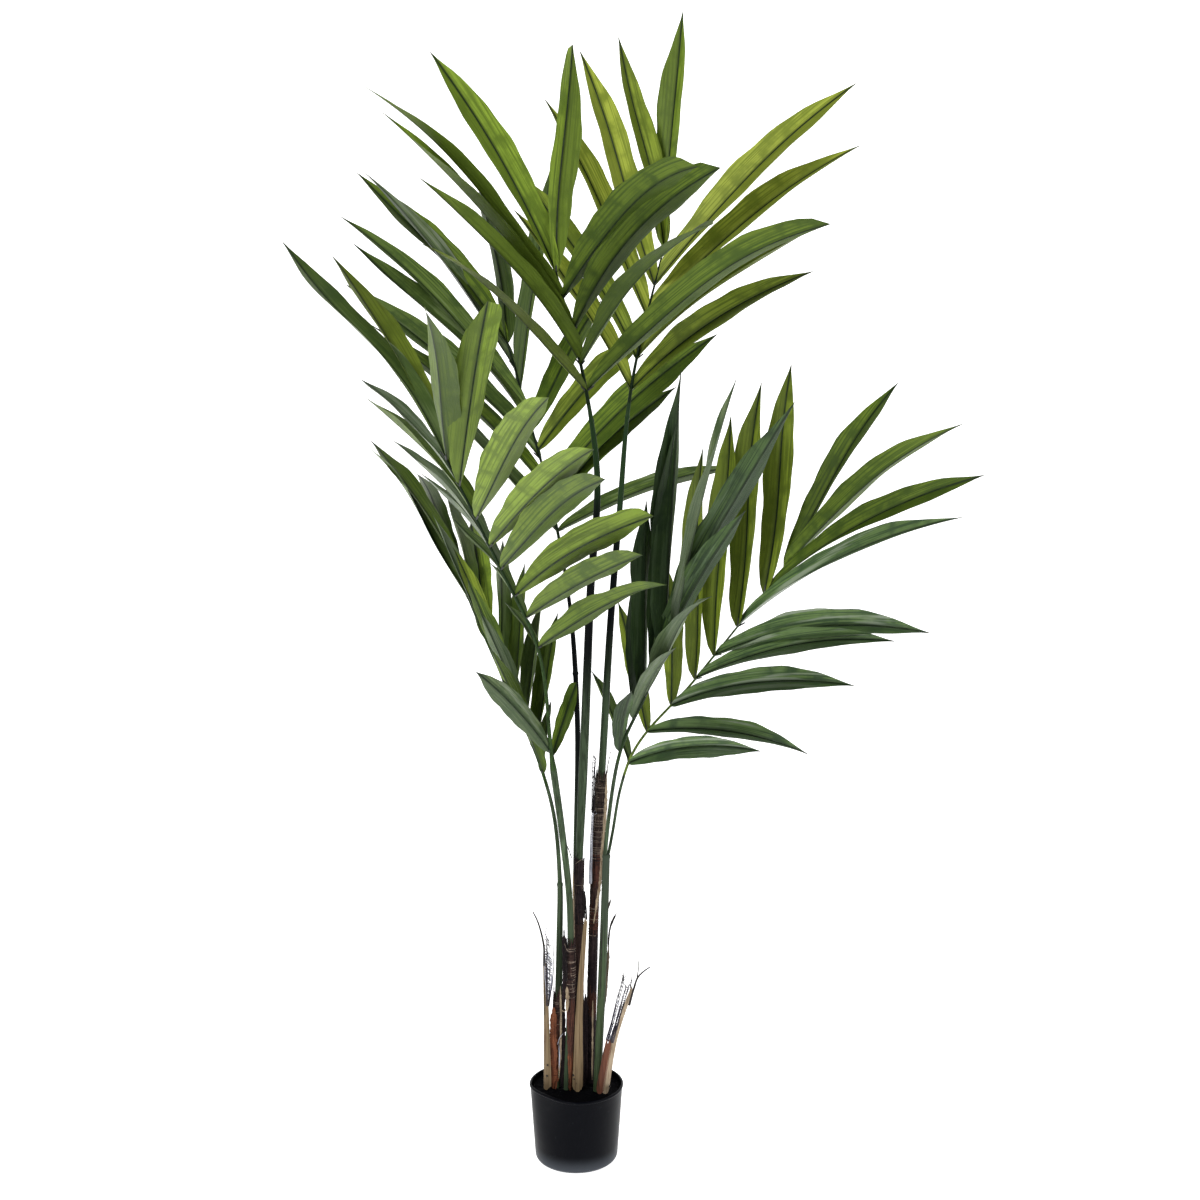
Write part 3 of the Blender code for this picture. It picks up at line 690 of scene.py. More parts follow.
def sheath_shell(line, radii, sheath, rng):
    """The torn sleeve with its ragged top and edges, and the fibre of each face by height."""
    end = distance_at(line, sheath["top"])
    tops = end + sheath["fray"] * np.clip(rng.normal(size=SHEATH_ROUND), *SHEATH_FRAY_LIMITS)
    count = round(end / SHEATH_RING_EVERY)
    rough = SHEATH_ROUGH * rng.normal(size=(count + 1, SHEATH_ROUND))
    rings = []
    for i in range(count + 1):
        outer, inner = [], []
        for j in range(SHEATH_ROUND):
            point, axes, radius, wall, low, high = sheath_wall(
                line, radii, sheath, tops[j] * i / count, end)
            angle = low + (high - low) * j / (SHEATH_ROUND - 1)
            if j in (0, SHEATH_ROUND - 1):
                angle += SHEATH_EDGE_SWING * rough[i, j]
            rim = around(angle, *axes)
            outer.append(point + (radius + wall * (1 + rough[i, j])) * rim)
            inner.append(point + radius * rim)
        rings.append(outer + inner[::-1])
    points, faces = gutter(rings)
    width = 2 * SHEATH_ROUND
    blur = SHEATH_ZONE_BLUR * rng.normal(size=SHEATH_ROUND)
    marks = []
    for face in faces:
        column = face[0] % width
        height = points[face[0]][2] + blur[min(column, width - 1 - column)]
        kind = [kind for low, kind in sheath["zones"] if height >= low][-1]
        marks.append(fibre_names.index(kind))
    return points, faces, marks


def sheath_threads(line, radii, sheath, rng):
    """Cross threads round the worn part, and long threads that stand out past its top."""
    end = distance_at(line, sheath["top"])
    bands = [(*distance_at(line, (low, high)), count) for low, high, count in sheath["bands"]]

    def on_surface(distance, share, lift):
        point, axes, radius, wall, low, high = sheath_wall(
            line, radii, sheath, min(distance, end), end)
        rim = around(low + (high - low) * share, *axes)
        return point + (radius + wall + lift) * rim, rim

    threads = []
    for distance in np.concatenate([np.linspace(*band) for band in bands]):
        distance += rng.normal() * THREAD_DRIFT
        first, last = sorted(rng.uniform(0, 1, 2))
        if last - first < THREAD_SHORTEST:
            first, last = THREAD_WHOLE
        slope = rng.normal() * THREAD_SLOPE
        path = [on_surface(distance + slope * share, share, CROSS_LIFT)[0]
                for share in np.linspace(first, last, THREAD_POINTS)]
        kind = fibre_names.index(rng.choice(THREAD_KINDS))
        threads.append((*strand(path, rng.uniform(*CROSS_SIZES), taper=0.9), kind))
    for _ in range(sheath["warps"]):
        share = rng.random()
        start = rng.uniform(*bands[-1][:2])
        reach = min(end, start + rng.uniform(*WARP_LENGTHS))
        path = [on_surface(d, share + WARP_DRIFT * rng.normal(), WARP_LIFT)[0]
                for d in np.linspace(start, reach, WARP_POINTS)]
        if reach == end:
            heading = place(line, end)[1] + WARP_LEAN * on_surface(end, share, 0.0)[1]
            path += wander(path[-1], heading, rng.uniform(*WARP_LOOSE_ENDS), rng)[1:]
        kind = fibre_names.index(rng.choice(THREAD_KINDS))
        threads.append((*strand(path, rng.uniform(*WARP_SIZES)), kind))
    return threads


fibre_names = list(FIBRES)
fibres = [fibre(name, *colours) for name, colours in FIBRES.items()]
for number, (name, sheath) in enumerate(SHEATHS.items()):
    rng = np.random.default_rng(SHEATH_SEED + number)
    line, radii = lines[name], STALKS[name]["radii"]
    shapes = [sheath_shell(line, radii, sheath, rng)]
    shapes += sheath_threads(line, radii, sheath, rng)
    shapes += [(*strip(points, width, rng), fibre_names.index(kind))
               for kind, width, points in sheath["strips"]]
    for kind, *lattice in sheath["nets"]:
        shapes += [(*shape, fibre_names.index(kind)) for shape in net(*lattice, rng)]
    piece("sheath_skin_" + name, shapes, fibres, "sheath", "sheath_" + name, crease=60)

# ---------------------------------------------------------------- stumps
# Cut leaf bases, shaped as gutters in dry tan plastic, with torn tops. Strings and nets of fibre hang
# on them, most on the outer two. The right one is lined with rust-coloured cloth lower down.
STUMP_SEED = 60
STUMP_WALL = 0.0026
STUMP_WALL_TAPER = 0.5
STUMP_ROUND = 14
STUMP_RINGS = 60
STUMP_POINT = 0.14
STUMP_POINT_END = 1.02
STUMP_FOOT_CUT = 0.045
STUMP_TOP_TEAR = 0.02
STUMP_PART_TEAR = 0.10
STUMP_EDGE_ROUGH = 0.5
STUMP_EDGE_FULL = 60
STUMP_RIDGES = 9
STUMP_RIDGE_DEPTH = 0.10
NAIL_HOLE = 0.0013
# radius: of the gutter's inside. at_foot, at_top: its middle and width in degrees. parts: first and
# last share of its width, share of its height, and husk. strings: radius and points. nets: as on the
# sheaths. holes: where nails were.
STUMPS = {
    "left": dict(
        line=[(-.0408, -.004, FOOT), (-.0410, -.004, .230), (-.0424, -.004, .345)],
        radius=.0085, at_foot=(216, 130), at_top=(208, 54), blunt=False,
        parts=[(0, 1, 1.0, "husk_tan")],
        strings=[(.0019,
                  [(-.0500, -.012, .320), (-.0500, -.013, .350), (-.0544, -.016, .376),
                   (-.0603, -.020, .397), (-.0663, -.024, .411)]),
                 (.0006, [(-.0500, -.0135, .240), (-.0500, -.0135, .290), (-.0498, -.013, .330)])],
        nets=[("husk_net", 4, .0040,
               [(-.0460, -.014, .255), (-.0474, -.014, .305), (-.0480, -.013, .350),
                (-.0485, -.012, .380)],
               [(-.0425, -.014, .255), (-.0392, -.014, .290), (-.0378, -.014, .330),
                (-.0388, -.012, .366)]),
              ("husk_white", 6, .0026,
               [(-.0460, -.013, .265), (-.0474, -.013, .305), (-.0478, -.012, .345)],
               [(-.0425, -.013, .265), (-.0395, -.013, .290), (-.0382, -.013, .335)])],
        holes=[(-.0452, -.0158, .158), (-.0462, -.0152, .140)]),
    "centre": dict(
        line=[(.0020, -.008, FOOT), (.0075, -.009, .290), (.0158, -.009, .401)],
        radius=.0088, at_foot=(268, 98), at_top=(268, 34), blunt=True,
        parts=[(0, 1, 1.0, "husk_tan")],
        strings=[(.0012, [(.0040, -.0175, .148), (.0015, -.0180, .140), (.0000, -.0185, .128)])],
        nets=[],
        holes=[(-.0042, -.0170, .142), (-.0030, -.0175, .136)]),
    "right": dict(
        line=[(.0395, -.0165, FOOT), (.0545, -.0170, .206), (.0820, -.018, .294)],
        radius=.0092, at_foot=(283, 130), at_top=(300, 112), blunt=False,
        parts=[(0, .53, .50, "husk_rust"), (.43, 1, 1.0, "husk_pale")],
        strings=[(.0019,
                  [(.0830, -.0290, .262), (.0905, -.0280, .290), (.0966, -.0270, .307),
                   (.1043, -.0280, .3157), (.1151, -.0300, .3246)]),
                 (.0009, [(.0951, -.026, .305), (.0974, -.026, .323), (.0965, -.026, .339)]),
                 (.0009, [(.0733, -.026, .300), (.0736, -.026, .310), (.0730, -.026, .321)]),
                 (.0010, [(.0850, -.026, .290), (.0862, -.026, .300), (.0858, -.026, .309)])],
        nets=[("husk_net", 3, .0045,
               [(.0470, -.026, .204), (.0562, -.026, .237), (.0640, -.026, .270), (.0722, -.026, .302),
                (.0745, -.026, .316)],
               [(.0500, -.026, .202), (.0590, -.026, .235), (.0668, -.026, .268), (.0745, -.026, .300),
                (.0770, -.026, .312)]),
              ("husk_net", 6, .0030,
               [(.0525, -.027, .200), (.0600, -.027, .227), (.0682, -.027, .258), (.0752, -.027, .286),
                (.0805, -.027, .303)],
               [(.0580, -.028, .200), (.0668, -.028, .232), (.0738, -.028, .258), (.0812, -.028, .284),
                (.0870, -.028, .302)]),
              ("husk_white", 4, .0060,
               [(.0485, -.0255, .200), (.0580, -.0255, .232), (.0655, -.0255, .262)],
               [(.0560, -.0255, .200), (.0650, -.0255, .232), (.0720, -.0255, .262)])],
        holes=[(.0530, -.0270, .128)]),
}
# Base, streaks and stains of each husk.
HUSKS = {
    "husk_tan": (srgb(122, 104, 78), srgb(90, 74, 53), srgb(84, 58, 42)),
    "husk_pale": (srgb(164, 147, 124), srgb(128, 110, 88), srgb(116, 86, 68)),
    "husk_rust": (srgb(100, 62, 46), srgb(60, 36, 30), srgb(44, 30, 29)),
    "husk_string": (srgb(44, 40, 40), srgb(24, 22, 22), srgb(70, 62, 58)),
    "husk_net": (srgb(52, 48, 56), srgb(28, 26, 32), srgb(110, 108, 118)),
    "husk_white": (srgb(190, 192, 204), srgb(150, 152, 166), srgb(110, 110, 124)),
}


def stump_part(stump, first, last, top, rng):
    """A torn gutter over part of the stump's width, up to a share of its height."""
    line = smooth_line(stump["line"])
    rings = []
    rough = np.cumsum(rng.normal(size=(STUMP_RINGS, 2)), axis=0) * STUMP_EDGE_ROUGH
    tear = STUMP_TOP_TEAR if top == 1 else STUMP_PART_TEAR
    torn = top * (1 - np.abs(rng.normal(size=STUMP_ROUND)) * tear)
    cut = STUMP_FOOT_CUT * np.linspace(-1, 1, STUMP_ROUND) ** 2 * rng.uniform(0.5, 1, STUMP_ROUND)
    for i, climb in enumerate(np.linspace(0, 1, STUMP_RINGS)):
        outer, inner = [], []
        for j in range(STUMP_ROUND):
            share = cut[j] + climb * (torn[j] - cut[j])
            point, direction = place_from_foot(line, share * line[1][-1])
            middle, arc = (np.interp(share, (0, 1), pair)
                           for pair in zip(stump["at_foot"], stump["at_top"]))
            if not stump["blunt"]:
                arc = arc * min(1.0, (STUMP_POINT_END - share) / STUMP_POINT)
            wall = STUMP_WALL * (1 - STUMP_WALL_TAPER * share)
            along = first + (last - first) * j / (STUMP_ROUND - 1)
            angle = math.radians(middle + arc * (along - 0.5))
            if j in (0, STUMP_ROUND - 1):
                angle += math.radians(rough[i, 0 if j == 0 else 1]) * min(1, arc / STUMP_EDGE_FULL)
            rim = around(angle, *ring_axes(direction))
            ridge = 1 + STUMP_RIDGE_DEPTH * math.cos(STUMP_RIDGES * angle)
            outer.append(point + (stump["radius"] + wall * ridge) * rim)
            inner.append(point + stump["radius"] * rim)
        rings.append(outer + inner[::-1])
    return gutter(rings)


def husk(name, base, streak, stain):
    """Dry husk, streaked lengthwise and stained in patches."""
    made = finish(name, base, 0.7, specular=0.2)
    tint(made, pattern(made, (520, 520, 12)), 0.42, 0.68, streak)
    tint(made, pattern(made, (90, 90, 16)), 0.60, 0.76, stain)
    return relief(made, pattern(made, (600, 600, 20)), 0.0006)


husk_names = list(HUSKS)
husks = [husk(name, *colours) for name, colours in HUSKS.items()]
string = husk_names.index("husk_string")
for number, (name, stump) in enumerate(STUMPS.items()):
    rng = np.random.default_rng(STUMP_SEED + number)
    shapes = [(*stump_part(stump, *part, rng), husk_names.index(kind))
              for *part, kind in stump["parts"]]
    shapes += [(*strand(smooth_line(points, steps=6)[0], thick, sides=6, taper=0.5), string)
               for thick, points in stump["strings"]]
    for kind, *lattice in stump["nets"]:
        shapes += [(*shape, husk_names.index(kind)) for shape in net(*lattice, rng)]
    for x, y, z in stump["holes"]:
        hole = [(x - NAIL_HOLE, y, z + 0.5 * NAIL_HOLE), (x + NAIL_HOLE, y, z - 0.3 * NAIL_HOLE)]
        shapes.append((*strand(hole, NAIL_HOLE, sides=8, taper=1), string))
    piece("stump_skin_" + name, shapes, husks, "stump", "stump_" + name, crease=50)

# ---------------------------------------------------------------- fronds
# Fronds of printed polyester leaflets, heat-pressed with a fold along the midrib and fine pleats,
# and plugged in pairs on a thin plastic rib. The cloth has a soft sheen, painted as pale streaks on
# the darker greens, and is greyer below. Painted shade darkens each leaflet's lower half and a band
# along the crease of its midrib. The yellowest green stands for light from behind, the darkest for
# shade.
FROND_SEED = 100
LEAFLET_LENGTH = 0.38
LEAFLET_WIDTH = 0.0515
WIDTH_GROWTH = 0.75
STATIONS = 28
HALF_COLUMNS = 9
MIDRIB_HALF = 0.0011
MIDRIB_SHARE = 0.3
# Painted shade: within this many metres of the midrib the green darkens, standing for the shade in its
# crease.
MIDRIB_CREASE_PAINTED_SHADE = 0.0048
PLEAT_DEPTH = 0.00055
CLOTH = 0.0004
FOLD_DEGREES = (20, 38)
FOLD_FLATTENS = 0.35
TWIST_DEGREES = 16
SWAY = 0.008
DROOP = 0.02
WAVE_SLOPES = (0.04, 0.12)
WAVE_BEATS = (7, 13)
EDGE_WAVES = ((0.04, 17), (0.03, 37))
GRAIN_SHIFT = 50
PLUG_REACH = 0.035
PLUG_RADIUS = 0.0016
RIB_BELOW_LEAFLETS = 0.020
RIB_PAST_LEAFLETS = 0.002
RIB_SIDES = 12
RIB_RING_EVERY = 0.008
RIB_GREENS = (srgb(50, 72, 36), srgb(22, 36, 20))
# A leaflet's breadth along its length, and those of the upper and lower edge of one cut aslant.
OUTLINE = ((0, .10), (.02, .29), (.05, .44), (.10, .58), (.17, .70), (.25, .81), (.34, .91), (.44, .98),
           (.54, 1.0), (.64, .96), (.72, .86), (.80, .67), (.87, .44), (.92, .25), (.96, .11),
           (1.0, .012))
CUT_HIGH_EDGE = ((0, .09), (.06, .36), (.15, .60), (.28, .84), (.42, .98), (.60, 1.0), (.76, .96),
                 (.88, .88), (.95, .74), (.985, .40), (1.0, .02))
CUT_LOW_EDGE = ((0, .09), (.06, .34), (.15, .58), (.28, .82), (.42, .98), (.60, 1.0), (.72, .90),
                (.82, .66), (.90, .38), (.96, .15), (1.0, .02))
# bows, cut, tones: how far the left and the right leaflets bow up, whether they are cut aslant, and
# their greens. left, right: a leaflet's distance along the stalk's line, its aim, its length, and
# its turn about the aim in degrees.
LEAFLETS = {
    "front_left": dict(
        bows=(.045, .028), cut=(False, True), tones=("gdddggmgod", "mmmbmbbbm"),
        left=[(.560, (-.46, -.57, .68), .22, -161), (.741, (-.48, .70, .53), .11, -126),
              (.798, (-.45, .70, .55), .13, -142), (.842, (-.51, .68, .53), .19, -144),
              (.894, (-.53, .66, .53), .24, -149), (.936, (-.55, .66, .51), .28, -144),
              (.986, (-.56, .64, .53), .32, -136), (1.045, (-.57, .62, .54), .27, -148),
              (1.071, (-.46, .48, .74), .40, -149), (1.090, (-.57, .43, .70), .43, -143)],
        right=[(.552, (.28, .55, .79), .13, -61), (.741, (.59, -.69, .41), .30, -158),
               (.798, (.50, -.78, .37), .32, -159), (.842, (.55, -.73, .41), .34, -177),
               (.894, (.40, -.82, .41), .36, -149), (.936, (.39, -.83, .40), .37, -147),
               (.986, (.29, -.85, .45), .38, -133), (1.045, (.16, -.78, .61), .38, -121),
               (1.090, (.02, -.84, .54), .34, -162)]),
    "left": dict(
        bows=(.04, .04), cut=(False, False), tones=("mmgmogdm", "mmdmdbmd"),
        left=[(.507, (-.29, -.45, .85), .20, -44), (.545, (-.30, -.42, .86), .21, -39),
              (.593, (-.28, -.35, .89), .21, -31), (.642, (-.29, -.25, .92), .21, -34),
              (.692, (-.34, .05, .94), .20, 56), (.746, (-.39, .30, .87), .22, 66),
              (.808, (-.51, .55, .66), .36, -107), (.876, (-.51, .62, .60), .32, -98)],
        right=[(.507, (.07, .72, .69), .14, -103), (.545, (.13, .60, .79), .25, -76),
               (.581, (.08, .66, .75), .25, -81), (.630, (.04, .70, .71), .28, -76),
               (.692, (-.01, .76, .65), .28, 9), (.739, (-.14, .80, .58), .29, -61),
               (.808, (-.19, .80, .57), .31, -9), (.876, (-.30, .84, .45), .30, -38)]),
    "centre": dict(
        bows=(.055, .085), cut=(False, True), tones=("obbbb", "mmmmb"),
        left=[(1.110, (-.64, -.50, .59), .33, -104), (1.150, (-.56, -.50, .66), .36, -100),
              (1.201, (-.59, -.45, .67), .40, -103), (1.253, (-.63, -.40, .66), .39, -114),
              (1.291, (-.50, .05, .87), .34, -103)],
        right=[(1.110, (.80, -.25, .55), .41, -146), (1.150, (.43, -.79, .44), .38, -99),
               (1.201, (.45, -.76, .46), .40, -125), (1.253, (.41, -.85, .33), .40, -131),
               (1.291, (.07, .20, .98), .32, -33)]),
    "back_left": dict(
        bows=(.045, .05), cut=(False, False), tones=("dmdddgm", "dmmomdd"),
        left=[(.885, (-.68, .41, .61), .40, -80), (.950, (-.70, .33, .64), .42, -65),
              (1.005, (-.73, .21, .65), .43, -48), (1.054, (-.69, .16, .71), .42, -43),
              (1.095, (-.69, .08, .72), .42, -34), (1.162, (-.59, .21, .77), .41, -50),
              (1.206, (-.63, .31, .71), .40, -45)],
        right=[(.885, (.83, .50, .26), .36, -56), (.922, (.62, .50, .60), .32, -28),
               (.950, (.67, .42, .61), .41, -25), (1.019, (.58, .55, .60), .31, -19),
               (1.054, (.36, .60, .71), .30, -38), (1.125, (.12, .35, .93), .40, -53),
               (1.206, (-.17, .52, .84), .36, -20)]),
    "top_right": dict(
        bows=(.05, .055), cut=(False, False), tones=("yoyyo", "ooyyb"),
        left=[(1.102, (-.53, .20, .82), .34, -53), (1.151, (-.52, .15, .84), .34, -42),
              (1.219, (-.42, .10, .90), .37, -32), (1.269, (-.31, .02, .95), .37, -13),
              (1.331, (-.21, .10, .97), .33, -31)],
        right=[(1.102, (.78, .37, .51), .38, -47), (1.151, (.78, .25, .57), .37, -64),
               (1.219, (.78, .05, .62), .42, -35), (1.269, (.71, 0, .71), .43, -29),
               (1.331, (.08, .21, .97), .379, 146)]),
    "right_front": dict(
        bows=(.05, .06), cut=(False, False), tones=("kkkkk", "ggkkg"),
        left=[(.179, (.08, -.74, .67), .18, -142), (.250, (.02, -.30, .95), .26, 74),
              (.301, (-.01, -.47, .88), .34, 95), (.354, (.05, -.41, .91), .40, 64),
              (.407, (.03, -.35, .94), .42, 73)],
        right=[(.250, (.22, -.78, .59), .24, -37), (.301, (.27, -.76, .60), .30, -54),
               (.354, (.32, -.59, .74), .34, 177), (.407, (.37, -.39, .84), .42, 140),
               (.460, (.16, -.48, .86), .40, 134)]),
    "right": dict(
        bows=(.05, .068), cut=(False, False), tones=("doooooom", "ssssssmm"),
        left=[(.146, (-.36, .45, .82), .16, -62), (.201, (-.20, .45, .87), .22, -34),
              (.257, (-.03, .42, .91), .24, -24), (.314, (.04, .26, .97), .37, 48),
              (.362, (.07, .17, .98), .38, 51), (.421, (.10, .18, .98), .39, 49),
              (.489, (.13, .29, .95), .38, 33), (.541, (.52, .25, .81), .36, 50)],
        right=[(.144, (.90, -.40, .19), .22, 11), (.201, (.87, -.49, 0), .27, -15),
               (.257, (.84, -.50, .20), .31, 10), (.314, (.82, -.51, .26), .34, -7),
               (.362, (.82, -.53, .20), .36, -3), (.421, (.77, -.42, .48), .40, -11),
               (.489, (.79, -.36, .50), .39, -13), (.541, (.69, -.32, .65), .36, -64)]),
}
# The greens, by the letter that the rows above deal them out with: pale, deep, roughness. They are
# partly printed and partly painted light: the yellowest (y) stands for leaflets lit from behind, and
# the darkest (k) for leaflets in shade.
TONES = {
    "m": (srgb(99, 120, 36), srgb(65, 86, 25), 0.5),
    "b": (srgb(126, 150, 49), srgb(88, 109, 32), 0.5),
    "o": (srgb(127, 144, 48), srgb(88, 104, 30), 0.5),
    "y": (srgb(154, 166, 62), srgb(112, 126, 40), 0.5),
    "d": (srgb(96, 116, 54), srgb(63, 83, 38), 0.45),
    "k": (srgb(68, 92, 46), srgb(32, 52, 26), 0.45),
    "s": (srgb(103, 130, 74), srgb(60, 84, 50), 0.34),
    "g": (srgb(110, 125, 86), srgb(68, 86, 55), 0.42),
}
# Painted sheen: pale streaks in these colours stand for the satin cloth's sheen and its reflections of
# the bright surroundings.
LEAF_PAINTED_SHEEN = {"d": srgb(118, 136, 88), "k": srgb(86, 106, 74), "s": srgb(150, 162, 140),
              "g": srgb(128, 138, 116)}
UNDER_GREY = np.array(srgb(104, 112, 92))
UNDER_FADE = 0.92
UNDER_GREYING = 0.03
# Painted shade: how far each leaflet's lower half is darkened, as though its fold turns it from the
# light.
LOWER_HALF_PAINTED_SHADE = 0.65
PAINTED_SHEEN_BLEND = 0.8
GLOSS_PLAIN = 0.14
GLOSS_SHINY = 0.30
SHINY_BELOW = 0.36


def leaflets(frond, line):
    """Each leaflet's base, rib direction, aim, length, side, turn, bow and cut, and its tone."""
    for side, key, at in ((-1, "left", 0), (1, "right", 1)):
        for (distance, aim, length, turn), tone in zip(frond[key], frond["tones"][at]):
            yield (*place(line, distance), unit(aim), length, side, math.radians(turn),
                   frond["bows"][at], frond["cut"][at]), tone


def leaflet_cloth(base, rib_direction, aim, length, side, turn, bow, slanted, rng):
    """Points, faces, a part per face (0 above, 1 below, 2 midrib) and grain of one leaflet."""
    level = unit(rib_direction - rib_direction.dot(aim) * aim)
    square = side * np.cross(aim, level)
    across = math.cos(turn) * level + math.sin(turn) * square
    face = math.cos(turn) * square - math.sin(turn) * level
    up = np.array([0, 0, 1.0])
    up = up - up.dot(aim) * aim
    width = LEAFLET_WIDTH * (length / LEAFLET_LENGTH) ** WIDTH_GROWTH
    fold = math.radians(rng.uniform(*FOLD_DEGREES))
    twist = math.radians(rng.normal() * TWIST_DEGREES)
    sway, lift = rng.normal(size=2) * SWAY
    droop = rng.uniform(0.0, DROOP)
    wave = rng.uniform(*WAVE_SLOPES)
    beats = rng.uniform(*WAVE_BEATS, 2)
    phases = rng.uniform(0, FULL_TURN, 6)
    start = rng.uniform(0, GRAIN_SHIFT)
    upper, lower, grain = [], [], []
    high_hand = 1 if across[2] > 0 else -1
    for share in np.linspace(0, 1, STATIONS):
        middle = base + length * (share * aim + 4 * bow * share * (1 - share) * up)
        middle = middle + length * (sway * math.sin(math.pi * share) * across
                                    + lift * math.sin(FULL_TURN * share) * face
                                    - droop * share**3 * up)
        bend = twist * share**2
        wide = math.cos(bend) * across + math.sin(bend) * face
        out = math.cos(bend) * face - math.sin(bend) * across
        for edge, hand in enumerate((-1, 1)):
            cut = (CUT_HIGH_EDGE if hand == high_hand else CUT_LOW_EDGE) if slanted else OUTLINE
            breadth = np.interp(share, *zip(*cut))
            rib_half = min(MIDRIB_HALF, MIDRIB_SHARE * width * breadth)
            reach = 0.5 * width * breadth
            reach *= sum((size * math.sin(rate * share + phases[2 * k + edge])
                          for k, (size, rate) in enumerate(EDGE_WAVES)), start=1)
            columns = np.linspace(0, 1, HALF_COLUMNS)
            for k, c in enumerate(columns if hand > 0 else columns[::-1]):
                away = rib_half + c * max(0.0, reach - rib_half)
                rise = away * math.tan(fold * (1 - FOLD_FLATTENS * share))
                rise += away * wave * c * math.sin(beats[edge] * share + phases[4 + edge])
                pleat = (k if hand > 0 else HALF_COLUMNS - 1 - k) % 2
                rise += PLEAT_DEPTH * pleat * breadth
                spot = middle + hand * away * wide + rise * out
                upper.append(spot)
                lower.append(spot - (0.0 if c == 1 else CLOTH) * out)
                grain.append((high_hand * hand * away, start + share * length))
    count = 2 * HALF_COLUMNS
    under = STATIONS * count
    faces, parts = [], []
    for i in range(STATIONS - 1):
        for j in range(count - 1):
            a, b = i * count + j, i * count + j + 1
            c, d = b + count, a + count
            faces += [(a, b, c, d), (under + d, under + c, under + b, under + a)]
            parts += [2, 2] if j == HALF_COLUMNS - 1 else [0, 1]
    return upper + lower, faces, parts, grain + grain


def from_midrib(made, operation):
    """Metres from the midrib with 'ABSOLUTE', or 1 above it and -1 below it with 'SIGN'."""
    measure = made.node_tree.nodes.new("ShaderNodeMath")
    measure.operation = operation
    made.node_tree.links.new(one_axis(made, "X", "grain"), measure.inputs[0])
    return measure.outputs["Value"]


cloths = {}
for tone, (pale, deep, roughness) in TONES.items():
    for face in ("above", "below"):
        if face == "below":
            pale, deep = (tuple(UNDER_FADE * np.array(c) + UNDER_GREYING * UNDER_GREY)
                          for c in (pale, deep))
        gloss = GLOSS_PLAIN if roughness > SHINY_BELOW else GLOSS_SHINY
        made = finish(f"leaf_{tone}_{face}", pale, roughness, specular=gloss)
        tint(made, pattern(made, (420, 6, 1), along="grain"), 0.42, 0.62, deep)
        tint(made, pattern(made, (30, 30, 30), detail=3), 0.44, 0.70, deep)
        # Painted sheen: pale streaks along the grain on the darker greens.
        if tone in LEAF_PAINTED_SHEEN:
            streaks = pattern(made, (130, 6, 1), along="grain")
            tint(made, streaks, 0.52, 0.64, LEAF_PAINTED_SHEEN[tone], PAINTED_SHEEN_BLEND)
        # Painted shade: the half of each leaflet below its midrib is darkened.
        tint(made, from_midrib(made, 'SIGN'), 1.0, -1.0, times(0.75, deep), LOWER_HALF_PAINTED_SHADE)
        # Painted shade in the crease along the midrib.
        tint(made, from_midrib(made, 'ABSOLUTE'), MIDRIB_CREASE_PAINTED_SHADE, 0.0, times(0.45, deep))
        relief(made, pattern(made, (900, 60, 1), along="grain"), 0.0008, 0.7)
        cloths[tone, face] = made
midrib = finish("leaf_midrib", srgb(26, 40, 20), 0.5, specular=0.10)
tint(midrib, pattern(midrib, (60, 60, 60)), 0.45, 0.75, srgb(46, 62, 32))
plug = finish("leaf_plug", srgb(18, 22, 18), 0.5)
tint(plug, pattern(plug, (200, 200, 200)), 0.5, 0.8, srgb(40, 48, 36))

for number, (name, frond) in enumerate(LEAFLETS.items()):
    rng = np.random.default_rng(FROND_SEED + number)
    line, stalk = lines[name], STALKS[name]
    tones = sorted(set("".join(frond["tones"])))
    finishes = [cloths[tone, face] for face in ("above", "below") for tone in tones]
    shapes, grains, plugs = [], [], []
    for leaflet, tone in leaflets(frond, line):
        points, faces, marks, grain = leaflet_cloth(*leaflet, rng)
        above = tones.index(tone)
        numbers = (above, above + len(tones), 2 * len(tones))
        shapes.append((points, faces, [numbers[m] for m in marks]))
        grains += grain
        base, _, aim, length = leaflet[:4]
        tip = base + PLUG_REACH * length * aim
        plugs.append((*strand([base, 0.5 * (base + tip), tip], PLUG_RADIUS, sides=8, taper=0.6), 1))
    piece("leaflets_" + name, shapes, finishes + [midrib], "leaf", "frond_" + name, grain=grains,
          crease=24)
    distances = [row[0] for row in frond["left"] + frond["right"]]
    rib = limb(line, stalk["radii"], min(distances) - RIB_BELOW_LEAFLETS,
               max(distances) + RIB_PAST_LEAFLETS, sides=RIB_SIDES, every=RIB_RING_EVERY)
    ribbed = stalk_finish("rib_" + name, *stalk["dark"], *stalk.get("rib", RIB_GREENS))
    piece("rib_" + name, [(*rib, 0)] + plugs, [ribbed, plug], "stalk_green", "frond_" + name)

# ---------------------------------------------------------------- studio
# A seamless pale sweep under and behind the plant, lit by one large soft light at the front left, a
# fill at the right and an even pale sky.
SWEEP_WIDTH = 12.0
SWEEP_FRONT = -4.0
SWEEP_BACK = 3.0
SWEEP_RADIUS = 1.5
SWEEP_TOP = 7.0
SWEEP_STEPS = 24
SWEEP_COLOUR = (0.92, 0.92, 0.92)
SWEEP_GLOW = 0.85
WHITE = (1, 1, 1, 1)
LIGHTS_AIM = (0, 0, 0.9)
KEY_AT = (-2.2, -2.6, 3.6)
KEY_SIZE = 1.4
KEY_POWER = 135
FILL_AT = (2.8, -1.6, 2.2)
FILL_SIZE = 1.8
FILL_POWER = 60
SKY_STRENGTH = 0.22
CAMERA_AT = (0.0375, -2.4, 1.22)
CAMERA_TILT = math.radians(82.3)
CAMERA_LENS = 47.7
CAMERA_SENSOR = 36


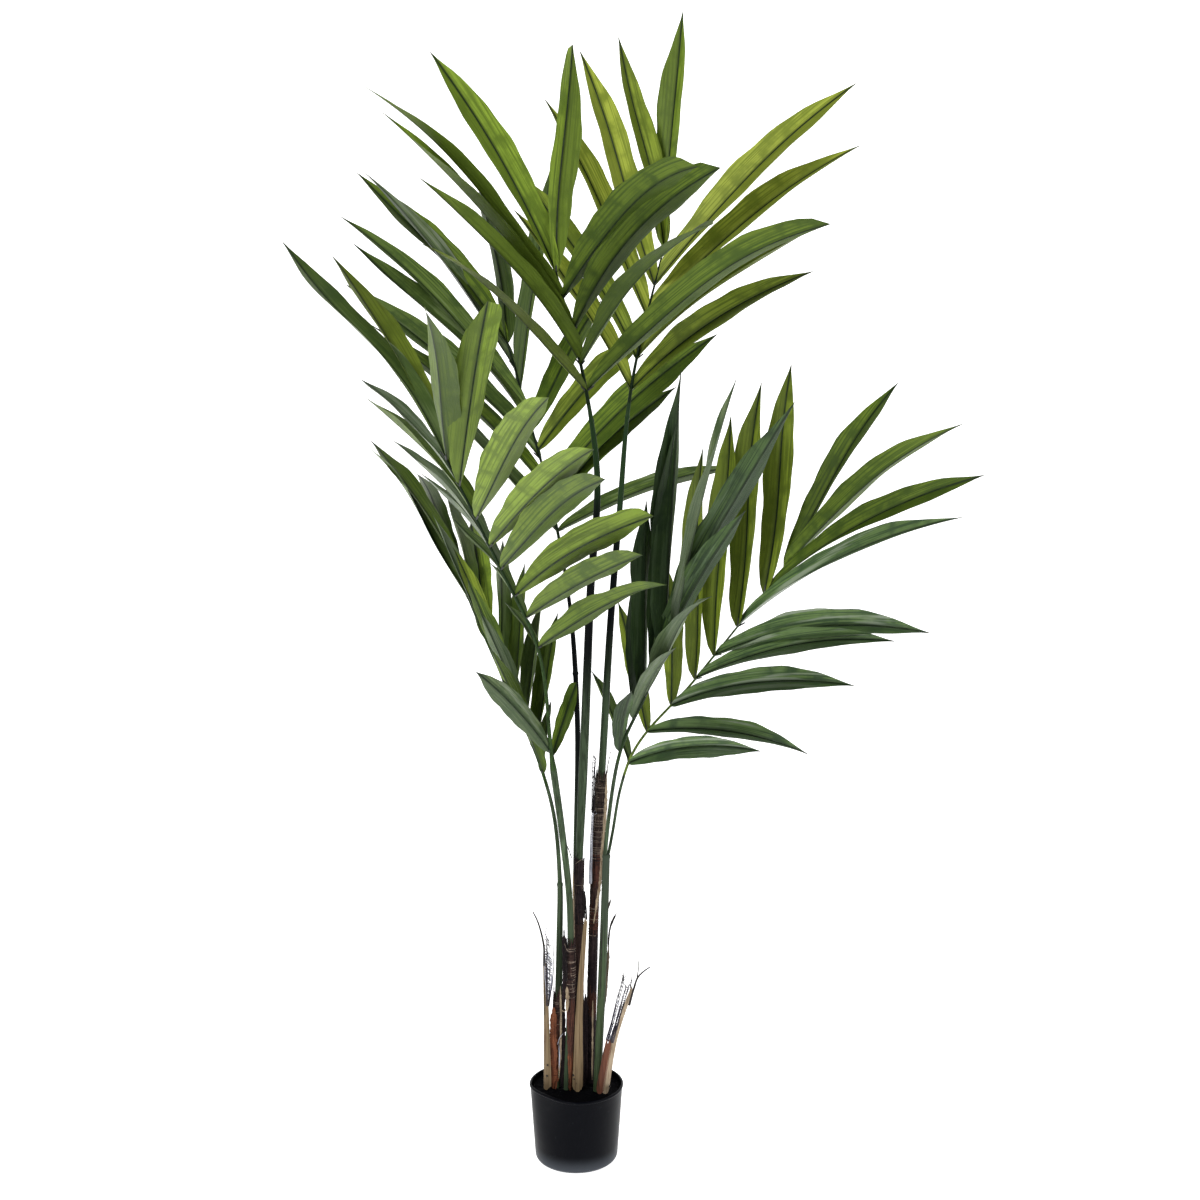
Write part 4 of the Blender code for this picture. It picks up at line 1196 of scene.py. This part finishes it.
def soft_light(name, at, size, power):
    """A square soft light that looks at the middle of the plant."""
    lamp = bpy.data.lights.new(name, 'AREA')
    lamp.size = size
    lamp.energy = power
    made = bpy.data.objects.new(name, lamp)
    made.location = at
    heading = np.array(LIGHTS_AIM, float) - np.array(at, float)
    flat = math.hypot(heading[0], heading[1])
    made.rotation_euler = (math.atan2(flat, -heading[2]), 0, math.atan2(-heading[0], heading[1]))
    bpy.context.scene.collection.objects.link(made)


profile = [(SWEEP_FRONT, 0.0)]
profile += [(SWEEP_BACK + SWEEP_RADIUS * math.sin(a), SWEEP_RADIUS * (1 - math.cos(a)))
            for a in np.linspace(0, QUARTER_TURN, SWEEP_STEPS)]
profile.append((SWEEP_BACK + SWEEP_RADIUS, SWEEP_TOP))
points = [(x, y, z) for y, z in profile for x in (-SWEEP_WIDTH / 2, SWEEP_WIDTH / 2)]
faces = [(2 * i, 2 * i + 1, 2 * i + 3, 2 * i + 2) for i in range(len(profile) - 1)]
mesh = bpy.data.meshes.new("sweep")
mesh.from_pydata(points, [], faces)
mesh.shade_smooth()
paper = finish("sweep_paper", SWEEP_COLOUR, 0.9, specular=0.2)
paper.node_tree.nodes["Principled BSDF"].inputs["Emission Color"].default_value = WHITE
paper.node_tree.nodes["Principled BSDF"].inputs["Emission Strength"].default_value = SWEEP_GLOW
mesh.materials.append(paper)
sweep = bpy.data.objects.new("sweep", mesh)
bpy.context.scene.collection.objects.link(sweep)

soft_light("key", KEY_AT, KEY_SIZE, KEY_POWER)
soft_light("fill", FILL_AT, FILL_SIZE, FILL_POWER)
sky = bpy.data.worlds.new("sky")
sky.use_nodes = True
sky.node_tree.nodes["Background"].inputs["Color"].default_value = WHITE
sky.node_tree.nodes["Background"].inputs["Strength"].default_value = SKY_STRENGTH
bpy.context.scene.world = sky
bpy.context.scene.view_settings.view_transform = 'Standard'

camera = bpy.data.objects.new("camera", bpy.data.cameras.new("camera"))
camera.location = CAMERA_AT
camera.rotation_euler = (CAMERA_TILT, 0, 0)
camera.data.lens = CAMERA_LENS
camera.data.sensor_width = CAMERA_SENSOR
bpy.context.scene.collection.objects.link(camera)
bpy.context.scene.camera = camera
